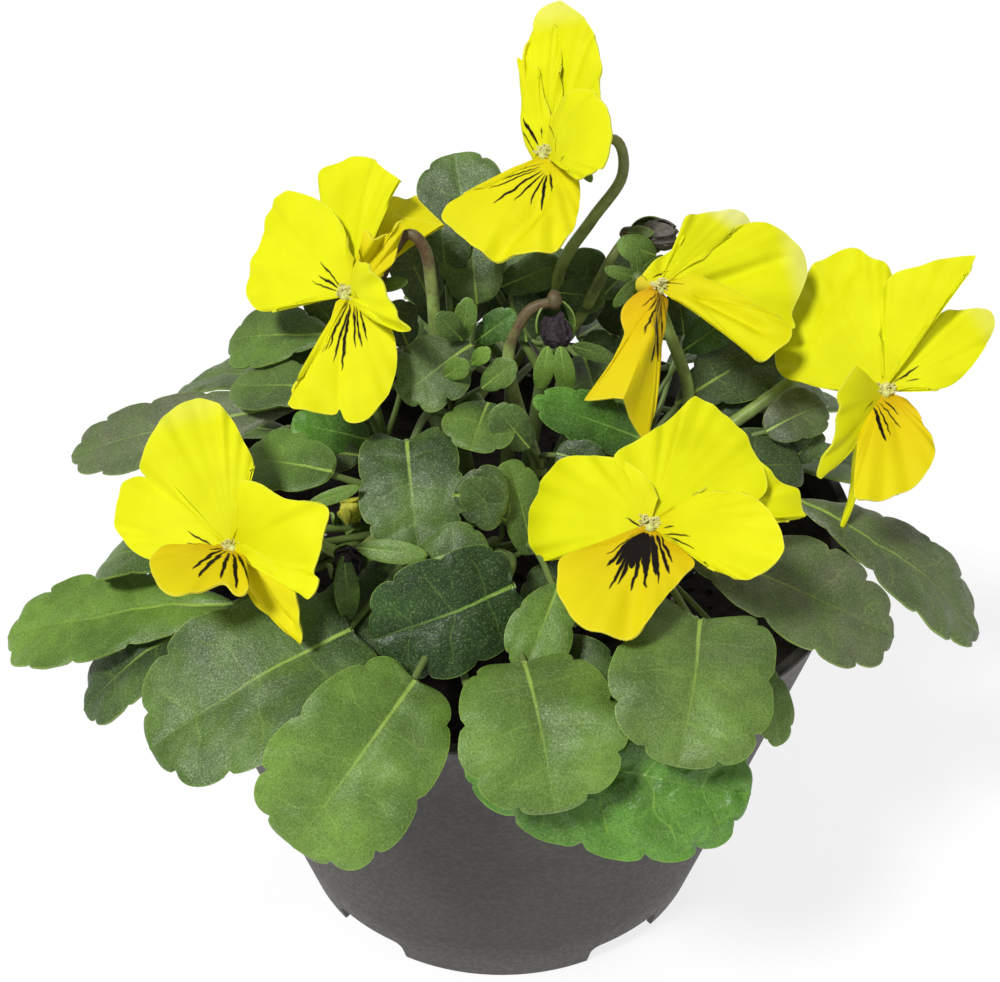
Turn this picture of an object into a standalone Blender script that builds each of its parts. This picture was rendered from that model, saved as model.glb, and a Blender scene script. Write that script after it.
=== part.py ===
"""A potted horned violet with yellow blooms, in a low nursery pot.

The pot is a thin moulded shell that stands on five feet. Compost fills it to just under the rim. Leafy
shoots stand in plain holes in the compost, and each shoot is one piece with its leaf stalks, leaves,
flower stalks and sepals. The petals of each bloom, the withered heads and the buds are pieces of their
own, held 0.3 mm in front of the green cup that carries them.

All sizes are in millimetres until finish() turns a piece to metres. The origin is the middle of the
pot's feet on the ground. +Z is up and -Y is the front.
"""
import math
from collections import namedtuple

import bmesh
import bpy
from mathutils import Matrix, Vector, noise

MM = 0.001
GAP = 0.3
UP = Vector((0, 0, 1))

# Pot
RIM_RADIUS = 60.0
RIM_HEIGHT = 75.0
FOOT_RADIUS = 38.5
WALL = 1.2
LIP_DEPTH = 3.0
LIP_PROUD = 0.8
LIP_SLOPE = 0.4
FLOOR_HEIGHT = 6.0
FLOOR_THICK = 1.5
POT_SIDES = 44
FOOT_COUNT = 5
ARCH_HEIGHT = 5.0
ARCH_SPAN = 22.0
ARCH_CORNER = 1.8
FIRST_ARCH = 232.5
DRAIN_RADIUS = 3.0
DRAIN_CIRCLE = 24.0

# Compost
COMPOST_HEIGHT = 70.0
COMPOST_CROWN = 1.5
COMPOST_LUMPS = 0.9
COMPOST_RINGS = 4
COMPOST_SIDES = 22
HOLE_CLEAR = 0.5
HOLE_FLOOR = 58.0

# Stems and blades
STEM_RADIUS = 1.5
STEM_TOP_RADIUS = 1.1
STEM_STRAIGHT = 6.0
STALK_RADIUS = 1.0
STALK_TIP_RADIUS = 0.6
STALK_SPREAD = 70.0
STALK_SAG = 0.10
STALK_LIFT = 0.06
STALK_OVERLAP = 2.0
FLOWER_STALK_RADIUS = 1.15
FLOWER_STALK_TIP_RADIUS = 0.8
BIG_LEAF = 16
LEAF_THICK = 0.7
PETAL_THICK = 0.65
SEPAL_THICK = 0.7
NOTCH = 0.11

# Flower parts
NECK_LENGTH = 4.0
NECK_RADII = (1.3, 1.8)
CUP_RADIUS = 1.6
CUP_LIFT = 0.8
SEPAL_LENGTH = 7.0
SEPAL_WIDTH = 2.6
SEPAL_LEAN = 0.5
SEPAL_ARCH = 0.4
# The sepals of a head close round it: how far out and how far forward they reach, and their bow.
CLOSED_SEPAL = (4.0, 6.5, -1.2)
SEPAL_TURNS = (0, 65, 130, 230, 295)
SPUR_LENGTH = 8.0
SPUR_DROP = 3.0
SPUR_RADIUS = 0.9
CRUMPLE = 0.25

# Outline of a blade: lobes on each side, how far out the widest place lies, how full the sides are,
# how much the foot narrows, and how far the foot's two lobes reach back past the stalk.
Shape = namedtuple("Shape", "lobes belly fullness taper heart")
SHAPES = {
    "long": Shape(5, 0.80, 0.80, 0.70, 0.0),
    "back": Shape(3, 0.80, 0.80, 0.70, 0.0),
    "broad": Shape(4, 0.95, 0.72, 0.20, 0.05),
    "small": Shape(2, 0.90, 0.72, 0.25, 0.03),
    "heart": Shape(4, 1.00, 0.70, 0.0, 0.13),
    "wide": Shape(6, 0.95, 0.70, 0.10, 0.06),
    "young": Shape(2, 0.90, 0.85, 0.40, 0.0),
    "pointed": Shape(4, 1.10, 1.05, 0.20, 0.0),
    "sepal": Shape(0, 1.00, 0.80, 0.10, 0.0),
}

# A leaf runs from its root to its tip. faces is the way its upper side looks, arch is how far the
# midrib bows up, and fold is how steeply the two halves rise from the midrib.
Leaf = namedtuple("Leaf", "root tip width faces shape arch fold", defaults=((0, 0, 1), "long", 2.0, 0.10))
Shoot = namedtuple("Shoot", "name foot crown leaves")
Petal = namedtuple("Petal", "reach faces minus plus arch fold", defaults=(1.0, 0.06))
Bloom = namedtuple("Bloom", "name shoot throat faces petals stalk")
Head = namedtuple("Head", "name shoot centre faces size kind stalk sepals")


def material(name, colour, roughness):
    """A plain Principled material."""
    made = bpy.data.materials.new(name)
    made.use_nodes = True
    shader = made.node_tree.nodes["Principled BSDF"]
    shader.inputs["Base Color"].default_value = (*colour, 1.0)
    shader.inputs["Roughness"].default_value = roughness
    made.diffuse_color = (*colour, 1.0)
    return made


def link(name, mesh):
    """A new object in the scene."""
    thing = bpy.data.objects.new(name, mesh)
    bpy.context.scene.collection.objects.link(thing)
    return thing


def evaluated(thing):
    """The mesh of an object with its modifiers applied."""
    bpy.context.view_layer.update()
    graph = bpy.context.evaluated_depsgraph_get()
    return bpy.data.meshes.new_from_object(thing.evaluated_get(graph))


def finish(thing, name, finish_material, smooth_angle=40.0):
    """Applies the modifiers, turns millimetres to metres and gives the piece its name and material."""
    mesh = evaluated(thing)
    mesh.transform(Matrix.Scale(MM, 4))
    bpy.data.objects.remove(thing)
    mesh.materials.clear()
    mesh.materials.append(finish_material)
    mesh.shade_smooth()
    mesh.set_sharp_from_angle(angle=math.radians(smooth_angle))
    mesh.name = name
    return link(name, mesh)


def cutter(thing, name):
    """Names a tool that is cut out of a piece, and keeps it out of renders."""
    thing.name = name
    thing.hide_render = True
    thing.display_type = "WIRE"
    return thing


def cut(thing, tool):
    """Cuts a tool out of a piece."""
    taken = thing.modifiers.new("cut", "BOOLEAN")
    taken.operation = "DIFFERENCE"
    taken.solver = "EXACT"
    taken.object = tool


def fuse(pieces, name, finish_material):
    """Joins overlapping pieces into one closed body."""
    body, *others = pieces
    group = bpy.data.collections.new(name + "_pieces")
    for piece in others:
        group.objects.link(piece)
    if others:
        union = body.modifiers.new("union", "BOOLEAN")
        union.operation = "UNION"
        union.solver = "MANIFOLD"
        union.operand_type = "COLLECTION"
        union.collection = group
    made = finish(body, name, finish_material)
    for piece in others:
        bpy.data.objects.remove(piece)
    bpy.data.collections.remove(group)
    return made


def outline(shape, place):
    """A point on the edge of a blade one unit long and two wide, place running 0 to 1, root to tip.

    Returns how far along the midrib its vein starts, how far along it ends, and how far out."""
    turn = math.pi * place
    along = (0.5 * (1 - math.cos(turn))) ** shape.belly
    out = math.sin(turn) ** shape.fullness * (1 - shape.taper * (1 - along) ** 3)
    start = along * (1 - 0.25 * math.sin(turn))
    if turn < math.pi / 2:
        along -= shape.heart * math.sin(2 * turn)
    if shape.lobes:
        phase = place * (shape.lobes + 0.5) % 1.0
        crown = math.sqrt(max(0.0, 1 - (2 * phase - 1) ** 2))
        depth = NOTCH * min(1.0, max(0.0, (place - 0.08) / 0.2)) * (1 - crown)
        out *= 1 - depth
        along += (0.5 - along) * depth * 0.8
    return start, along, out


def leaf_rows(shape, width):
    """The rows of a leaf, at the notches and the crowns of its lobes.

    A row holds where its vein leaves the midrib, how far along it ends, and how far out on each side."""
    if shape.lobes:
        crowns = (0.0, 0.3, 0.7) if width > 21.5 else (0.0, 0.5)
        places = [lobe + crown for lobe in range(shape.lobes) for crown in crowns]
        places += [shape.lobes, shape.lobes + 0.5]
        places = [place / (shape.lobes + 0.5) for place in places]
    else:
        places = [0.0, 0.5, 1.0]
    rows = []
    for place in places:
        start, along, out = outline(shape, place)
        rows.append((start, along, out * width / 2, out * width / 2))
    return rows


def petal_rows(petal):
    """The rows of a petal, from how far it reaches to either side of its midrib at four places."""
    sides = zip((0, *petal.minus, 0), (0, *petal.plus, 0))
    rows = []
    for step, (minus, plus) in enumerate(sides):
        along = 0.5 * (1 - math.cos(math.pi * step / (len(petal.minus) + 1)))
        rows.append((along, along, minus, plus))
    return rows


def blade(name, root, tip, faces, rows, arch, fold, thick):
    """A leaf, petal or sepal: a thin arched sheet, folded along its midrib."""
    root = Vector(root)
    run = Vector(tip) - root
    side = run.cross(Vector(faces)).normalized()
    upper = side.cross(run).normalized()
    bm = bmesh.new()
    bmesh.ops.create_grid(bm, x_segments=2, y_segments=len(rows) - 1, size=1.0)
    for vert in bm.verts:
        across = round(vert.co.x)
        start, end, minus, plus = rows[round((vert.co.y + 1) / 2 * (len(rows) - 1))]
        along = start + (end - start) * abs(across)
        shift = across * (plus if across > 0 else minus)
        bow = arch * 4 * along * (1 - along)
        vert.co = root + run * along + side * shift + upper * (bow + fold * abs(shift))
    bmesh.ops.remove_doubles(bm, verts=bm.verts, dist=0.01)
    bmesh.ops.triangulate(bm, faces=bm.faces)
    bmesh.ops.recalc_face_normals(bm, faces=bm.faces)
    mesh = bpy.data.meshes.new(name)
    bm.to_mesh(mesh)
    bm.free()
    sheet = link(name, mesh)
    shell = sheet.modifiers.new("thickness", "SOLIDIFY")
    shell.thickness = thick
    shell.offset = 0.0
    return sheet


def tube(name, points, start_radius, end_radius, sides=4, steps=2):
    """A tapering stem through the given points, with closed ends."""
    curve = bpy.data.curves.new(name, "CURVE")
    curve.dimensions = "3D"
    curve.resolution_u = steps
    curve.bevel_depth = 1.0
    curve.bevel_resolution = sides // 2 - 2
    curve.use_fill_caps = True
    spline = curve.splines.new("BEZIER")
    spline.bezier_points.add(len(points) - 1)
    for order, (knot, point) in enumerate(zip(spline.bezier_points, points)):
        knot.co = Vector(point)
        knot.handle_left_type = "AUTO"
        knot.handle_right_type = "AUTO"
        knot.radius = start_radius + (end_radius - start_radius) * order / (len(points) - 1)
    guide = link(name + "_guide", curve)
    mesh = evaluated(guide)
    bpy.data.objects.remove(guide)
    bm = bmesh.new()
    bm.from_mesh(mesh)
    bmesh.ops.remove_doubles(bm, verts=bm.verts, dist=0.001)
    bmesh.ops.recalc_face_normals(bm, faces=bm.faces)
    bm.to_mesh(mesh)
    bm.free()
    mesh.name = name
    return link(name, mesh)


def knob(name, centre, radii, axis=UP, detail=1):
    """A small egg, its length along an axis."""
    bm = bmesh.new()
    bmesh.ops.create_icosphere(bm, subdivisions=detail, radius=1.0)
    turn = UP.rotation_difference(Vector(axis)).to_matrix().to_4x4()
    place = Matrix.Translation(Vector(centre)) @ turn @ Matrix.Diagonal((radii[0], radii[0], radii[1], 1.0))
    bmesh.ops.transform(bm, matrix=place, verts=bm.verts)
    mesh = bpy.data.meshes.new(name)
    bm.to_mesh(mesh)
    bm.free()
    return link(name, mesh)


def turned(name, profile, sides):
    """A solid turned about the Z axis from a closed or axis-to-axis profile of (radius, height)."""
    bm = bmesh.new()
    ring = [bm.verts.new((radius, 0, height)) for radius, height in profile]
    edges = [bm.edges.new(pair) for pair in zip(ring, ring[1:])]
    if profile[0][0] > 0:
        edges.append(bm.edges.new((ring[-1], ring[0])))
    bmesh.ops.spin(bm, geom=ring + edges, cent=(0, 0, 0), axis=UP, angle=math.tau, steps=sides,
                   use_merge=True)
    bmesh.ops.remove_doubles(bm, verts=bm.verts, dist=0.001)
    bmesh.ops.recalc_face_normals(bm, faces=bm.faces)
    mesh = bpy.data.meshes.new(name)
    bm.to_mesh(mesh)
    bm.free()
    return link(name, mesh)


def wall_radius(height):
    """The pot's outer radius at a height."""
    return FOOT_RADIUS + (RIM_RADIUS - LIP_PROUD - FOOT_RADIUS) * height / RIM_HEIGHT


def cylinder(name, centre, radius, low, high, sides=12):
    """An upright closed cylinder."""
    bm = bmesh.new()
    bmesh.ops.create_cone(
        bm, cap_ends=True, segments=sides, radius1=radius, radius2=radius, depth=high - low,
        matrix=Matrix.Translation((centre[0], centre[1], (low + high) / 2)),
    )
    mesh = bpy.data.meshes.new(name)
    bm.to_mesh(mesh)
    bm.free()
    return link(name, mesh)


def make_pot(plastic):
    """The moulded shell: a sloping wall with a small lip, a raised floor with drain holes, five feet."""
    lip_low = RIM_HEIGHT - LIP_DEPTH
    profile = [
        (FOOT_RADIUS, 0),
        (wall_radius(lip_low), lip_low),
        (wall_radius(lip_low) + LIP_PROUD, lip_low + LIP_SLOPE),
        (RIM_RADIUS, RIM_HEIGHT - LIP_SLOPE),
        (RIM_RADIUS - LIP_SLOPE, RIM_HEIGHT),
        (RIM_RADIUS - LIP_PROUD - WALL + 0.2, RIM_HEIGHT),
        (wall_radius(FLOOR_HEIGHT + FLOOR_THICK) - WALL, FLOOR_HEIGHT + FLOOR_THICK),
        (0, FLOOR_HEIGHT + FLOOR_THICK),
        (0, FLOOR_HEIGHT),
        (wall_radius(FLOOR_HEIGHT) - WALL, FLOOR_HEIGHT),
        (FOOT_RADIUS - WALL, 0),
    ]
    pot = turned("pot", profile, POT_SIDES)
    for index in range(FOOT_COUNT):
        heading = FIRST_ARCH + index * 360 / FOOT_COUNT
        bm = bmesh.new()
        bmesh.ops.create_cube(bm, size=1.0)
        width = 2 * FOOT_RADIUS * math.sin(math.radians(ARCH_SPAN / 2))
        size = Matrix.Diagonal((12.0, width, 2 * ARCH_HEIGHT, 1.0))
        bmesh.ops.transform(bm, matrix=size, verts=bm.verts)
        corners = [edge for edge in bm.edges if all(vert.co.z > 0 for vert in edge.verts)]
        sides = [edge for edge in corners if abs(edge.verts[0].co.x - edge.verts[1].co.x) > 1]
        bmesh.ops.bevel(bm, geom=sides, offset=ARCH_CORNER, segments=2, profile=0.5, affect="EDGES",
                        material=-1)
        place = Matrix.Rotation(math.radians(heading), 4, "Z") @ Matrix.Translation((FOOT_RADIUS, 0, 0))
        bmesh.ops.transform(bm, matrix=place, verts=bm.verts)
        mesh = bpy.data.meshes.new("arch_cutter")
        bm.to_mesh(mesh)
        bm.free()
        cut(pot, cutter(link("arch", mesh), f"arch_cutter_{index + 1}"))
        drain_turn = math.radians(heading + 180 / FOOT_COUNT)
        centre = (DRAIN_CIRCLE * math.cos(drain_turn), DRAIN_CIRCLE * math.sin(drain_turn))
        drain = cylinder("drain", centre, DRAIN_RADIUS, FLOOR_HEIGHT - 2, FLOOR_HEIGHT + 4)
        cut(pot, cutter(drain, f"drain_cutter_{index + 1}"))
    return finish(pot, "pot", plastic)


def make_compost(soil, shoots):
    """The compost that fills the pot, with a lumpy top and a plain hole for each shoot."""
    low = FLOOR_HEIGHT + FLOOR_THICK + GAP
    inner = WALL + GAP + 0.1
    profile = [
        (0, low),
        (wall_radius(low) - inner, low),
        (wall_radius(COMPOST_HEIGHT) - inner, COMPOST_HEIGHT),
    ]
    outer = wall_radius(COMPOST_HEIGHT) - inner
    for ring in range(1, COMPOST_RINGS + 1):
        reach = 1 - ring / COMPOST_RINGS
        profile.append((outer * reach, COMPOST_HEIGHT + COMPOST_CROWN * (1 - reach ** 2)))
    compost = turned("compost", profile, COMPOST_SIDES)
    for vert in compost.data.vertices:
        spread = math.hypot(vert.co.x, vert.co.y)
        if vert.co.z > COMPOST_HEIGHT - 1 and spread < outer - 1:
            vert.co.z += COMPOST_LUMPS * noise.noise(Vector((vert.co.x, vert.co.y, 0)) * 0.15)
    for shoot in shoots:
        hole = cylinder("hole_" + shoot.name, shoot.foot, STEM_RADIUS + HOLE_CLEAR, HOLE_FLOOR - GAP,
                        COMPOST_HEIGHT + 8, sides=8)
        cut(compost, cutter(hole, "hole_cutter_" + shoot.name))
    return finish(compost, "compost", soil)


# Leafy shoots. Each has its foot in the compost, the top of its stem, and its leaves. The front half
# follows the plant leaf by leaf.
SHOOTS = [
    Shoot("shoot_front_left", (-9, -9), (-13, -24, 88), [
        Leaf((-39.5, -39, 85), (-75.5, -35, 75), 17, (0, -0.25, 1), "long", 2.0),
        Leaf((-42.5, -41, 84.5), (-61.5, -46, 71), 13, (-0.3, -0.3, 1), "back", 1.5),
        Leaf((-46, -36, 92), (-61, -29, 85), 12, (0, -0.2, 1), "small", 1.5),
        Leaf((-21.5, -48, 87.5), (-49.5, -60.5, 75), 25, (-0.2, -0.6, 1), "broad", 2.5),
        Leaf((-25, -28, 101), (-40, -19, 97), 12, (0, -0.5, 1), "small", 1.0),
        Leaf((-28, -34, 92), (-42, -30, 92), 13, (0, -0.6, 1), "small", 1.0),
        Leaf((-15, -34, 88), (-24, -49, 84), 14, (0, -0.5, 1), "small", 1.0),
    ]),
    Shoot("shoot_front", (-1, -12), (-3, -28, 86), [
        Leaf((-12, -58.5, 86), (-26.5, -72, 70), 22, (0, -1, 0.7), "broad", 3.0),
        Leaf((3, -58, 88), (7, -75, 79), 21, (0.1, -0.9, 1), "broad", 3.0),
        Leaf((-4, -62, 80), (34, -67, 74), 25, (0, -1, 0.55), "wide", 1.5),
        Leaf((1, -46, 92), (-16, -51, 88), 16, (0, -1, 0.8), "broad", 1.5),
        Leaf((-12, -43, 95), (-2, -42, 98), 9, (0, -0.8, 1), "young", 1.0),
        Leaf((8, -46.5, 94.5), (3, -55.5, 86), 10, (0, -1, 0.8), "young", 1.0),
        Leaf((3, -50, 84), (16, -53, 82), 11, (0, -0.8, 1), "small", 1.0),
        Leaf((4.5, -33.5, 90), (0.8, -28, 103), 8, (0.6, -1, 0.5), "small", 0.8),
        Leaf((9, -29, 85), (8, -41, 82), 12, (0, -0.5, 1), "small", 1.0),
    ]),
    Shoot("shoot_front_right", (8, -9), (14, -24, 84), [
        Leaf((28.5, -55, 91), (27, -71, 82), 21, (0.1, -0.9, 1), "heart", 2.0),
        Leaf((30, -38, 92), (58, -41, 80), 19.5, (0.1, -0.35, 1), "long", 2.0),
        Leaf((35, -46, 82), (40.5, -54, 71), 8, (0.6, -0.6, 1), "small", 1.0),
    ]),
    Shoot("shoot_right", (13, -1), (24, -8, 88), [
        Leaf((47, -20, 90), (75.5, -28, 71), 16, (0.4, -0.2, 1), "long", 2.5),
        Leaf((28, -4, 98), (46, 8, 103), 14, (0.3, -0.6, 1), "back", 1.0),
        Leaf((42, -9, 96), (52, -4, 98), 9, (0, -0.8, 1), "small", 1.0),
        Leaf((36, 10, 90), (58, 30, 81), 16, (0.2, -0.2, 1), "back", 2.0),
        Leaf((30, -15, 92), (48, -11, 91), 14, (0, -0.5, 1), "small", 1.0),
        Leaf((42, 1, 83), (70, 8, 75), 15, (0, 0, 1), "back", 2.0),
    ]),
    Shoot("shoot_left", (-13, 1), (-22, -2, 92), [
        Leaf((-31, -10, 102), (-70, 0, 85.5), 14, (0, -0.35, 1), "long", 1.5),
        Leaf((-26, -6, 112), (-44, 4, 105), 13, (0, -0.6, 1), "back", 1.0),
        Leaf((-26, -14, 107), (-43, -5, 102), 10, (0, -0.5, 1), "small", 0.5),
        Leaf((-30, 2, 97), (-46, 10, 93), 12, (0, -0.3, 1), "back", 2.0),
        Leaf((-36, 8, 85), (-63, 20, 76), 16, (0, 0, 1), "back", 2.0),
    ]),
    Shoot("shoot_centre_front", (4, -3), (6, -18, 96), [
        Leaf((22.5, -20, 101), (4.5, -24, 111), 9, (0.2, -1, 0.8), "pointed", 1.0),
    ]),
    Shoot("shoot_centre_left", (-5, 1), (-8, -8, 104), [
        Leaf((-14, -26, 105), (-12, -39, 94), 16, (0, -1, 0.8), "heart", 1.5),
        Leaf((-6.5, -13, 114), (-17, -19, 111), 10, (0, -0.4, 1), "small", 0.6),
        Leaf((-4, 4, 112), (-5, 10, 121), 11, (0, -1, 0.4), "small", 0.5),
        Leaf((-2, -20, 108), (-4.5, -30, 106), 11, (0, -0.5, 1), "small", 0.5),
        Leaf((-7, -34, 101), (1, -33, 100), 10, (0, -1, 0.6), "young", 0.5),
    ]),
    Shoot("shoot_centre_right", (4, 6), (8, 6, 106), [
        Leaf((16, 6, 112), (23, 14, 115), 8, (0, -0.8, 1), "young", 0.5),
        Leaf((10, 14, 112), (-6, 20, 112), 10, (0, -0.6, 1), "small", 0.8),
        Leaf((13, -2, 106), (15, -14, 102), 12, (0, -0.5, 1), "small", 0.8),
        Leaf((-5, 18, 118), (-8, 24, 128), 12, (0, -1, 0.4), "back", 0.8),
    ]),
    Shoot("shoot_back_left", (-8, 10), (-16, 22, 90), [
        Leaf((-18, 15, 100), (-36, 27, 94), 15, (0, 0, 1), "back", 1.0),
        Leaf((-13, 26, 92), (-28, 43, 88), 15, (0, 0, 1), "back", 1.0),
        Leaf((-33, 22, 86), (-60, 36, 77), 17, (0, 0, 1), "back", 3.0),
        Leaf((-26, 32, 88), (-46, 56, 77), 19, (0, 0.3, 1), "back", 3.0),
    ]),
    Shoot("shoot_back", (1, 14), (2, 26, 90), [
        Leaf((-6, 25, 98), (-13, 42, 95), 15, (0, 0.2, 1), "back", 1.0),
        Leaf((8, 26, 98), (12, 44, 95), 14, (0, 0.2, 1), "back", 1.0),
        Leaf((-14, 40, 84), (-23, 70, 76), 19, (0, 0.3, 1), "back", 3.0),
        Leaf((9, 42, 81), (12, 76, 72), 19, (0, 0.3, 1), "back", 3.0),
        Leaf((-2, 46, 78), (-6, 72, 71), 16, (0, 0.3, 1), "back", 2.0),
    ]),
    Shoot("shoot_back_right", (9, 10), (17, 20, 90), [
        Leaf((20, 17, 99), (36, 28, 95), 15, (0, 0, 1), "back", 1.0),
        Leaf((14, 31, 91), (24, 47, 87), 15, (0, 0, 1), "back", 1.0),
        Leaf((35, 22, 80), (64, 38, 74), 16, (0, 0, 1), "back", 2.0),
        Leaf((21, 36, 86), (33, 65, 77), 18, (0, 0.3, 1), "back", 3.0),
        Leaf((30, 28, 87), (53, 50, 77), 17, (0, 0.2, 1), "back", 3.0),
    ]),
]

# Blooms. throat is the middle of the face, faces is the way it looks, and the stalk's points run from
# its shoot up to the crook, from where it bends down into the cup behind the petals.
BLOOMS = [
    Bloom("bloom_top", "shoot_centre_right", (7, 5, 137), (-0.7, -0.65, 0.3), [
        Petal((2, 15, 18.5), (-0.6, -0.8, 0.2), (1, 3, 4.5, 5), (4, 8, 7, 3)),
        Petal((-1, 15, 14.5), (-0.5, -0.8, 0.3), (1, 3, 3, 2.5), (1, 3.5, 3, 3)),
        Petal((8, -9, 9), (-0.5, -0.6, 0.6), (4.5, 6, 6, 3), (1, 4, 7.5, 7)),
        Petal((-3, 13, 11), (-0.5, -0.8, 0.2), (3, 3, 2, 2), (1, 2, 2, 1)),
        Petal((-6.5, -15.5, -9), (-0.2, -0.57, 0.82), (4, 7, 8, 7), (1.5, 5, 10, 9)),
    ], [(8, 6, 106), (10, 8, 118), (15, 8.5, 126), (19, 9, 133), (17.5, 9.5, 138)]),
    Bloom("bloom_upper_left", "shoot_centre_left", (-22.5, -12, 122), (-0.55, -0.75, 0.35), [
        Petal((1, 17, 14.5), (-0.5, -0.8, 0.3), (1, 3.5, 6, 7), (1, 4, 5.5, 3)),
        Petal((12, 11, 7.5), (0, 0.45, 0.9), (1, 2, 3, 3), (1, 2, 3, 2), 3.0),
        Petal((-15.5, 12.5, 2), (-0.3, -0.8, 0.5), (2, 4, 8, 7), (4.5, 9, 10, 9)),
        Petal((8.5, -12.5, 0.5), (-1, -0.45, 0.1), (4, 6.5, 5, 2), (1, 1, 1, 0.5)),
        Petal((-1, -16.5, -11.5), (-0.1, -0.68, 0.73), (4, 6.5, 7.5, 6), (2, 2.5, 5, 8)),
    ], [(-8, -8, 104), (-10, -9, 113), (-10, -9, 121), (-11.5, -8, 127), (-14.5, -7, 128.5)]),
    Bloom("bloom_lower_left", "shoot_front_left", (-38, -43, 98), (0.2, -0.6, 0.77), [
        Petal((-6.5, 17, 14), (0.1, -0.8, 0.6), (1, 4.5, 8.5, 5.5), (2, 4, 5, 3)),
        Petal((14, -7, 6.5), (0, -0.85, 0.55), (2, 7, 7, 5.5), (0.5, 2, 5.5, 6)),
        Petal((-17.5, 7, 1.5), (0.2, -0.8, 0.6), (1, 4, 5, 3.5), (2, 4, 5.5, 5)),
        Petal((10, -11, -8), (-0.7, -0.5, 0.5), (3, 1, 4.5, 2), (0.5, 1, 1, 0.5)),
        Petal((-4, -13, 2.5), (0, -0.2, 1), (2, 4.5, 7, 3), (2, 5.5, 7.5, 5)),
    ], [(-13, -24, 86), (-22, -32, 88), (-33, -31, 95), (-38, -33, 97)]),
    Bloom("bloom_right", "shoot_right", (23.5, -6, 120), (0.4, -0.85, 0.3), [
        Petal((12, 13, 7.5), (0, -0.8, 0.6), (3, 2.5, 3, 1.5), (2.5, 7.5, 9, 10)),
        Petal((23.5, 5, 2), (0, -0.8, 0.6), (1, 3, 6, 3.5), (1, 3, 8.5, 5)),
        Petal((17.5, -9, -5), (0, -0.6, 0.8), (1.5, 3.5, 4.5, 4), (1, 1, 2, 3)),
        Petal((-5.5, -19, -11.5), (0.2, -0.9, 0.3), (2.5, 3, 4, 4.5), (2.5, 4, 4, 5), 1.0, -0.3),
    ], [(24, -8, 86), (27, -3, 97), (25, 1, 109), (22, 4, 118), (21, 3, 121)]),
    Bloom("bloom_front", "shoot_front_right", (20.6, -43, 102), (-0.1, -0.8, 0.6), [
        Petal((13, 15.5, 8.5), (-0.1, -0.8, 0.6), (3, 8.5, 7, 6.5), (3.5, 7, 9.5, 4)),
        Petal((23, 7, -1.5), (0, -0.8, 0.7), (1, 3, 6.5, 3.5), (1, 2, 3, 2)),
        Petal((-16.5, 10.5, -4), (-0.1, -0.8, 0.6), (2, 4, 7, 6), (5, 8.5, 8, 4)),
        Petal((15.5, -12, 3.5), (0, -0.7, 0.7), (1.5, 5, 6.5, 5), (1, 2.5, 4, 3.5)),
        Petal((-6.5, -18.5, -4), (-0.1, -0.6, 0.8), (3.5, 6.5, 5.5, 3), (1.5, 5, 9, 7)),
    ], [(14, -24, 82), (18, -27, 93), (20.5, -31, 101), (21, -34, 102)]),
    Bloom("bloom_far_right", "shoot_right", (58, -15, 107), (0.1, -0.85, 0.5), [
        Petal((-9.5, 19.5, 10), (-0.1, -0.8, 0.6), (2, 9, 9, 4), (1, 6, 10, 9)),
        Petal((12.5, 7.5, 19), (-0.3, -0.8, 0.5), (2, 6, 7, 3), (0.5, 0.5, 0.5, 0.5)),
        Petal((16.5, 6.5, 9), (-0.2, -0.8, 0.6), (1.5, 4, 5, 3), (1, 4, 4, 2)),
        Petal((-11, -14, -6.5), (0.6, -0.8, 0.3), (0.5, 0.5, 1, 0.5), (1, 7.5, 5, 2)),
        Petal((-1, -17.5, -8), (0, -0.5, 0.8), (3.5, 5.5, 6, 3), (1.5, 3.5, 4.5, 5)),
    ], [(24, -8, 86), (38, -4, 95), (50, -1, 103), (56, -3, 107), (57, -6, 107)]),
    Bloom("bloom_back", "shoot_back", (-3, 60, 88), (0, 0.6, 0.8), [
        Petal((-7, -8, 5), (0, 0.6, 0.8), (2, 5, 6, 4), (2, 5, 6, 4)),
        Petal((7, -8, 5), (0, 0.6, 0.8), (2, 5, 6, 4), (2, 5, 6, 4)),
        Petal((-13, 1, 1), (0, 0.6, 0.8), (2, 4, 5.5, 4), (2, 4, 5.5, 4)),
        Petal((13, 1, 1), (0, 0.6, 0.8), (2, 4, 5.5, 4), (2, 4, 5.5, 4)),
        Petal((0, 11, -6), (0, 0.5, 0.8), (2, 4, 7, 5), (2, 4, 7, 5)),
    ], [(2, 26, 88), (-2, 40, 87), (-3, 50, 86)]),
]

# Heads without open petals. centre is the middle of the head, faces is the way it points away from its
# stalk, and size is its half width and half length.
HEADS = [
    Head("withered_head_centre", "shoot_centre_front", (8, -14, 117), (0.05, -0.35, -0.9), (2.4, 2.6),
         "withered", [(6, -18, 94), (2, -15, 108), (3, -12, 118)], (20, 150, 200, 290)),
    Head("withered_head_left", "shoot_front_left", (-22, -41, 94), (0.3, -0.6, 0.8), (2.2, 2.2), "withered",
         [(-13, -24, 86), (-17, -31, 92), (-20, -36, 93)], (0, 90, 180, 270)),
    Head("faded_bud", "shoot_centre_right", (23, 5, 128), (0.7, -0.3, 0.2), (2.6, 4.0), "withered",
         [(8, 6, 104), (13, 3, 113), (17, 2, 123)], (0, 90, 180, 270)),
    Head("yellow_bud", "shoot_front_left", (-22.5, -28, 94), (0.2, -0.6, 0.7), (2.4, 4.0), "bud",
         [(-13, -24, 86), (-19, -23, 90)], (0, 90, 180, 270)),
]


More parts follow.
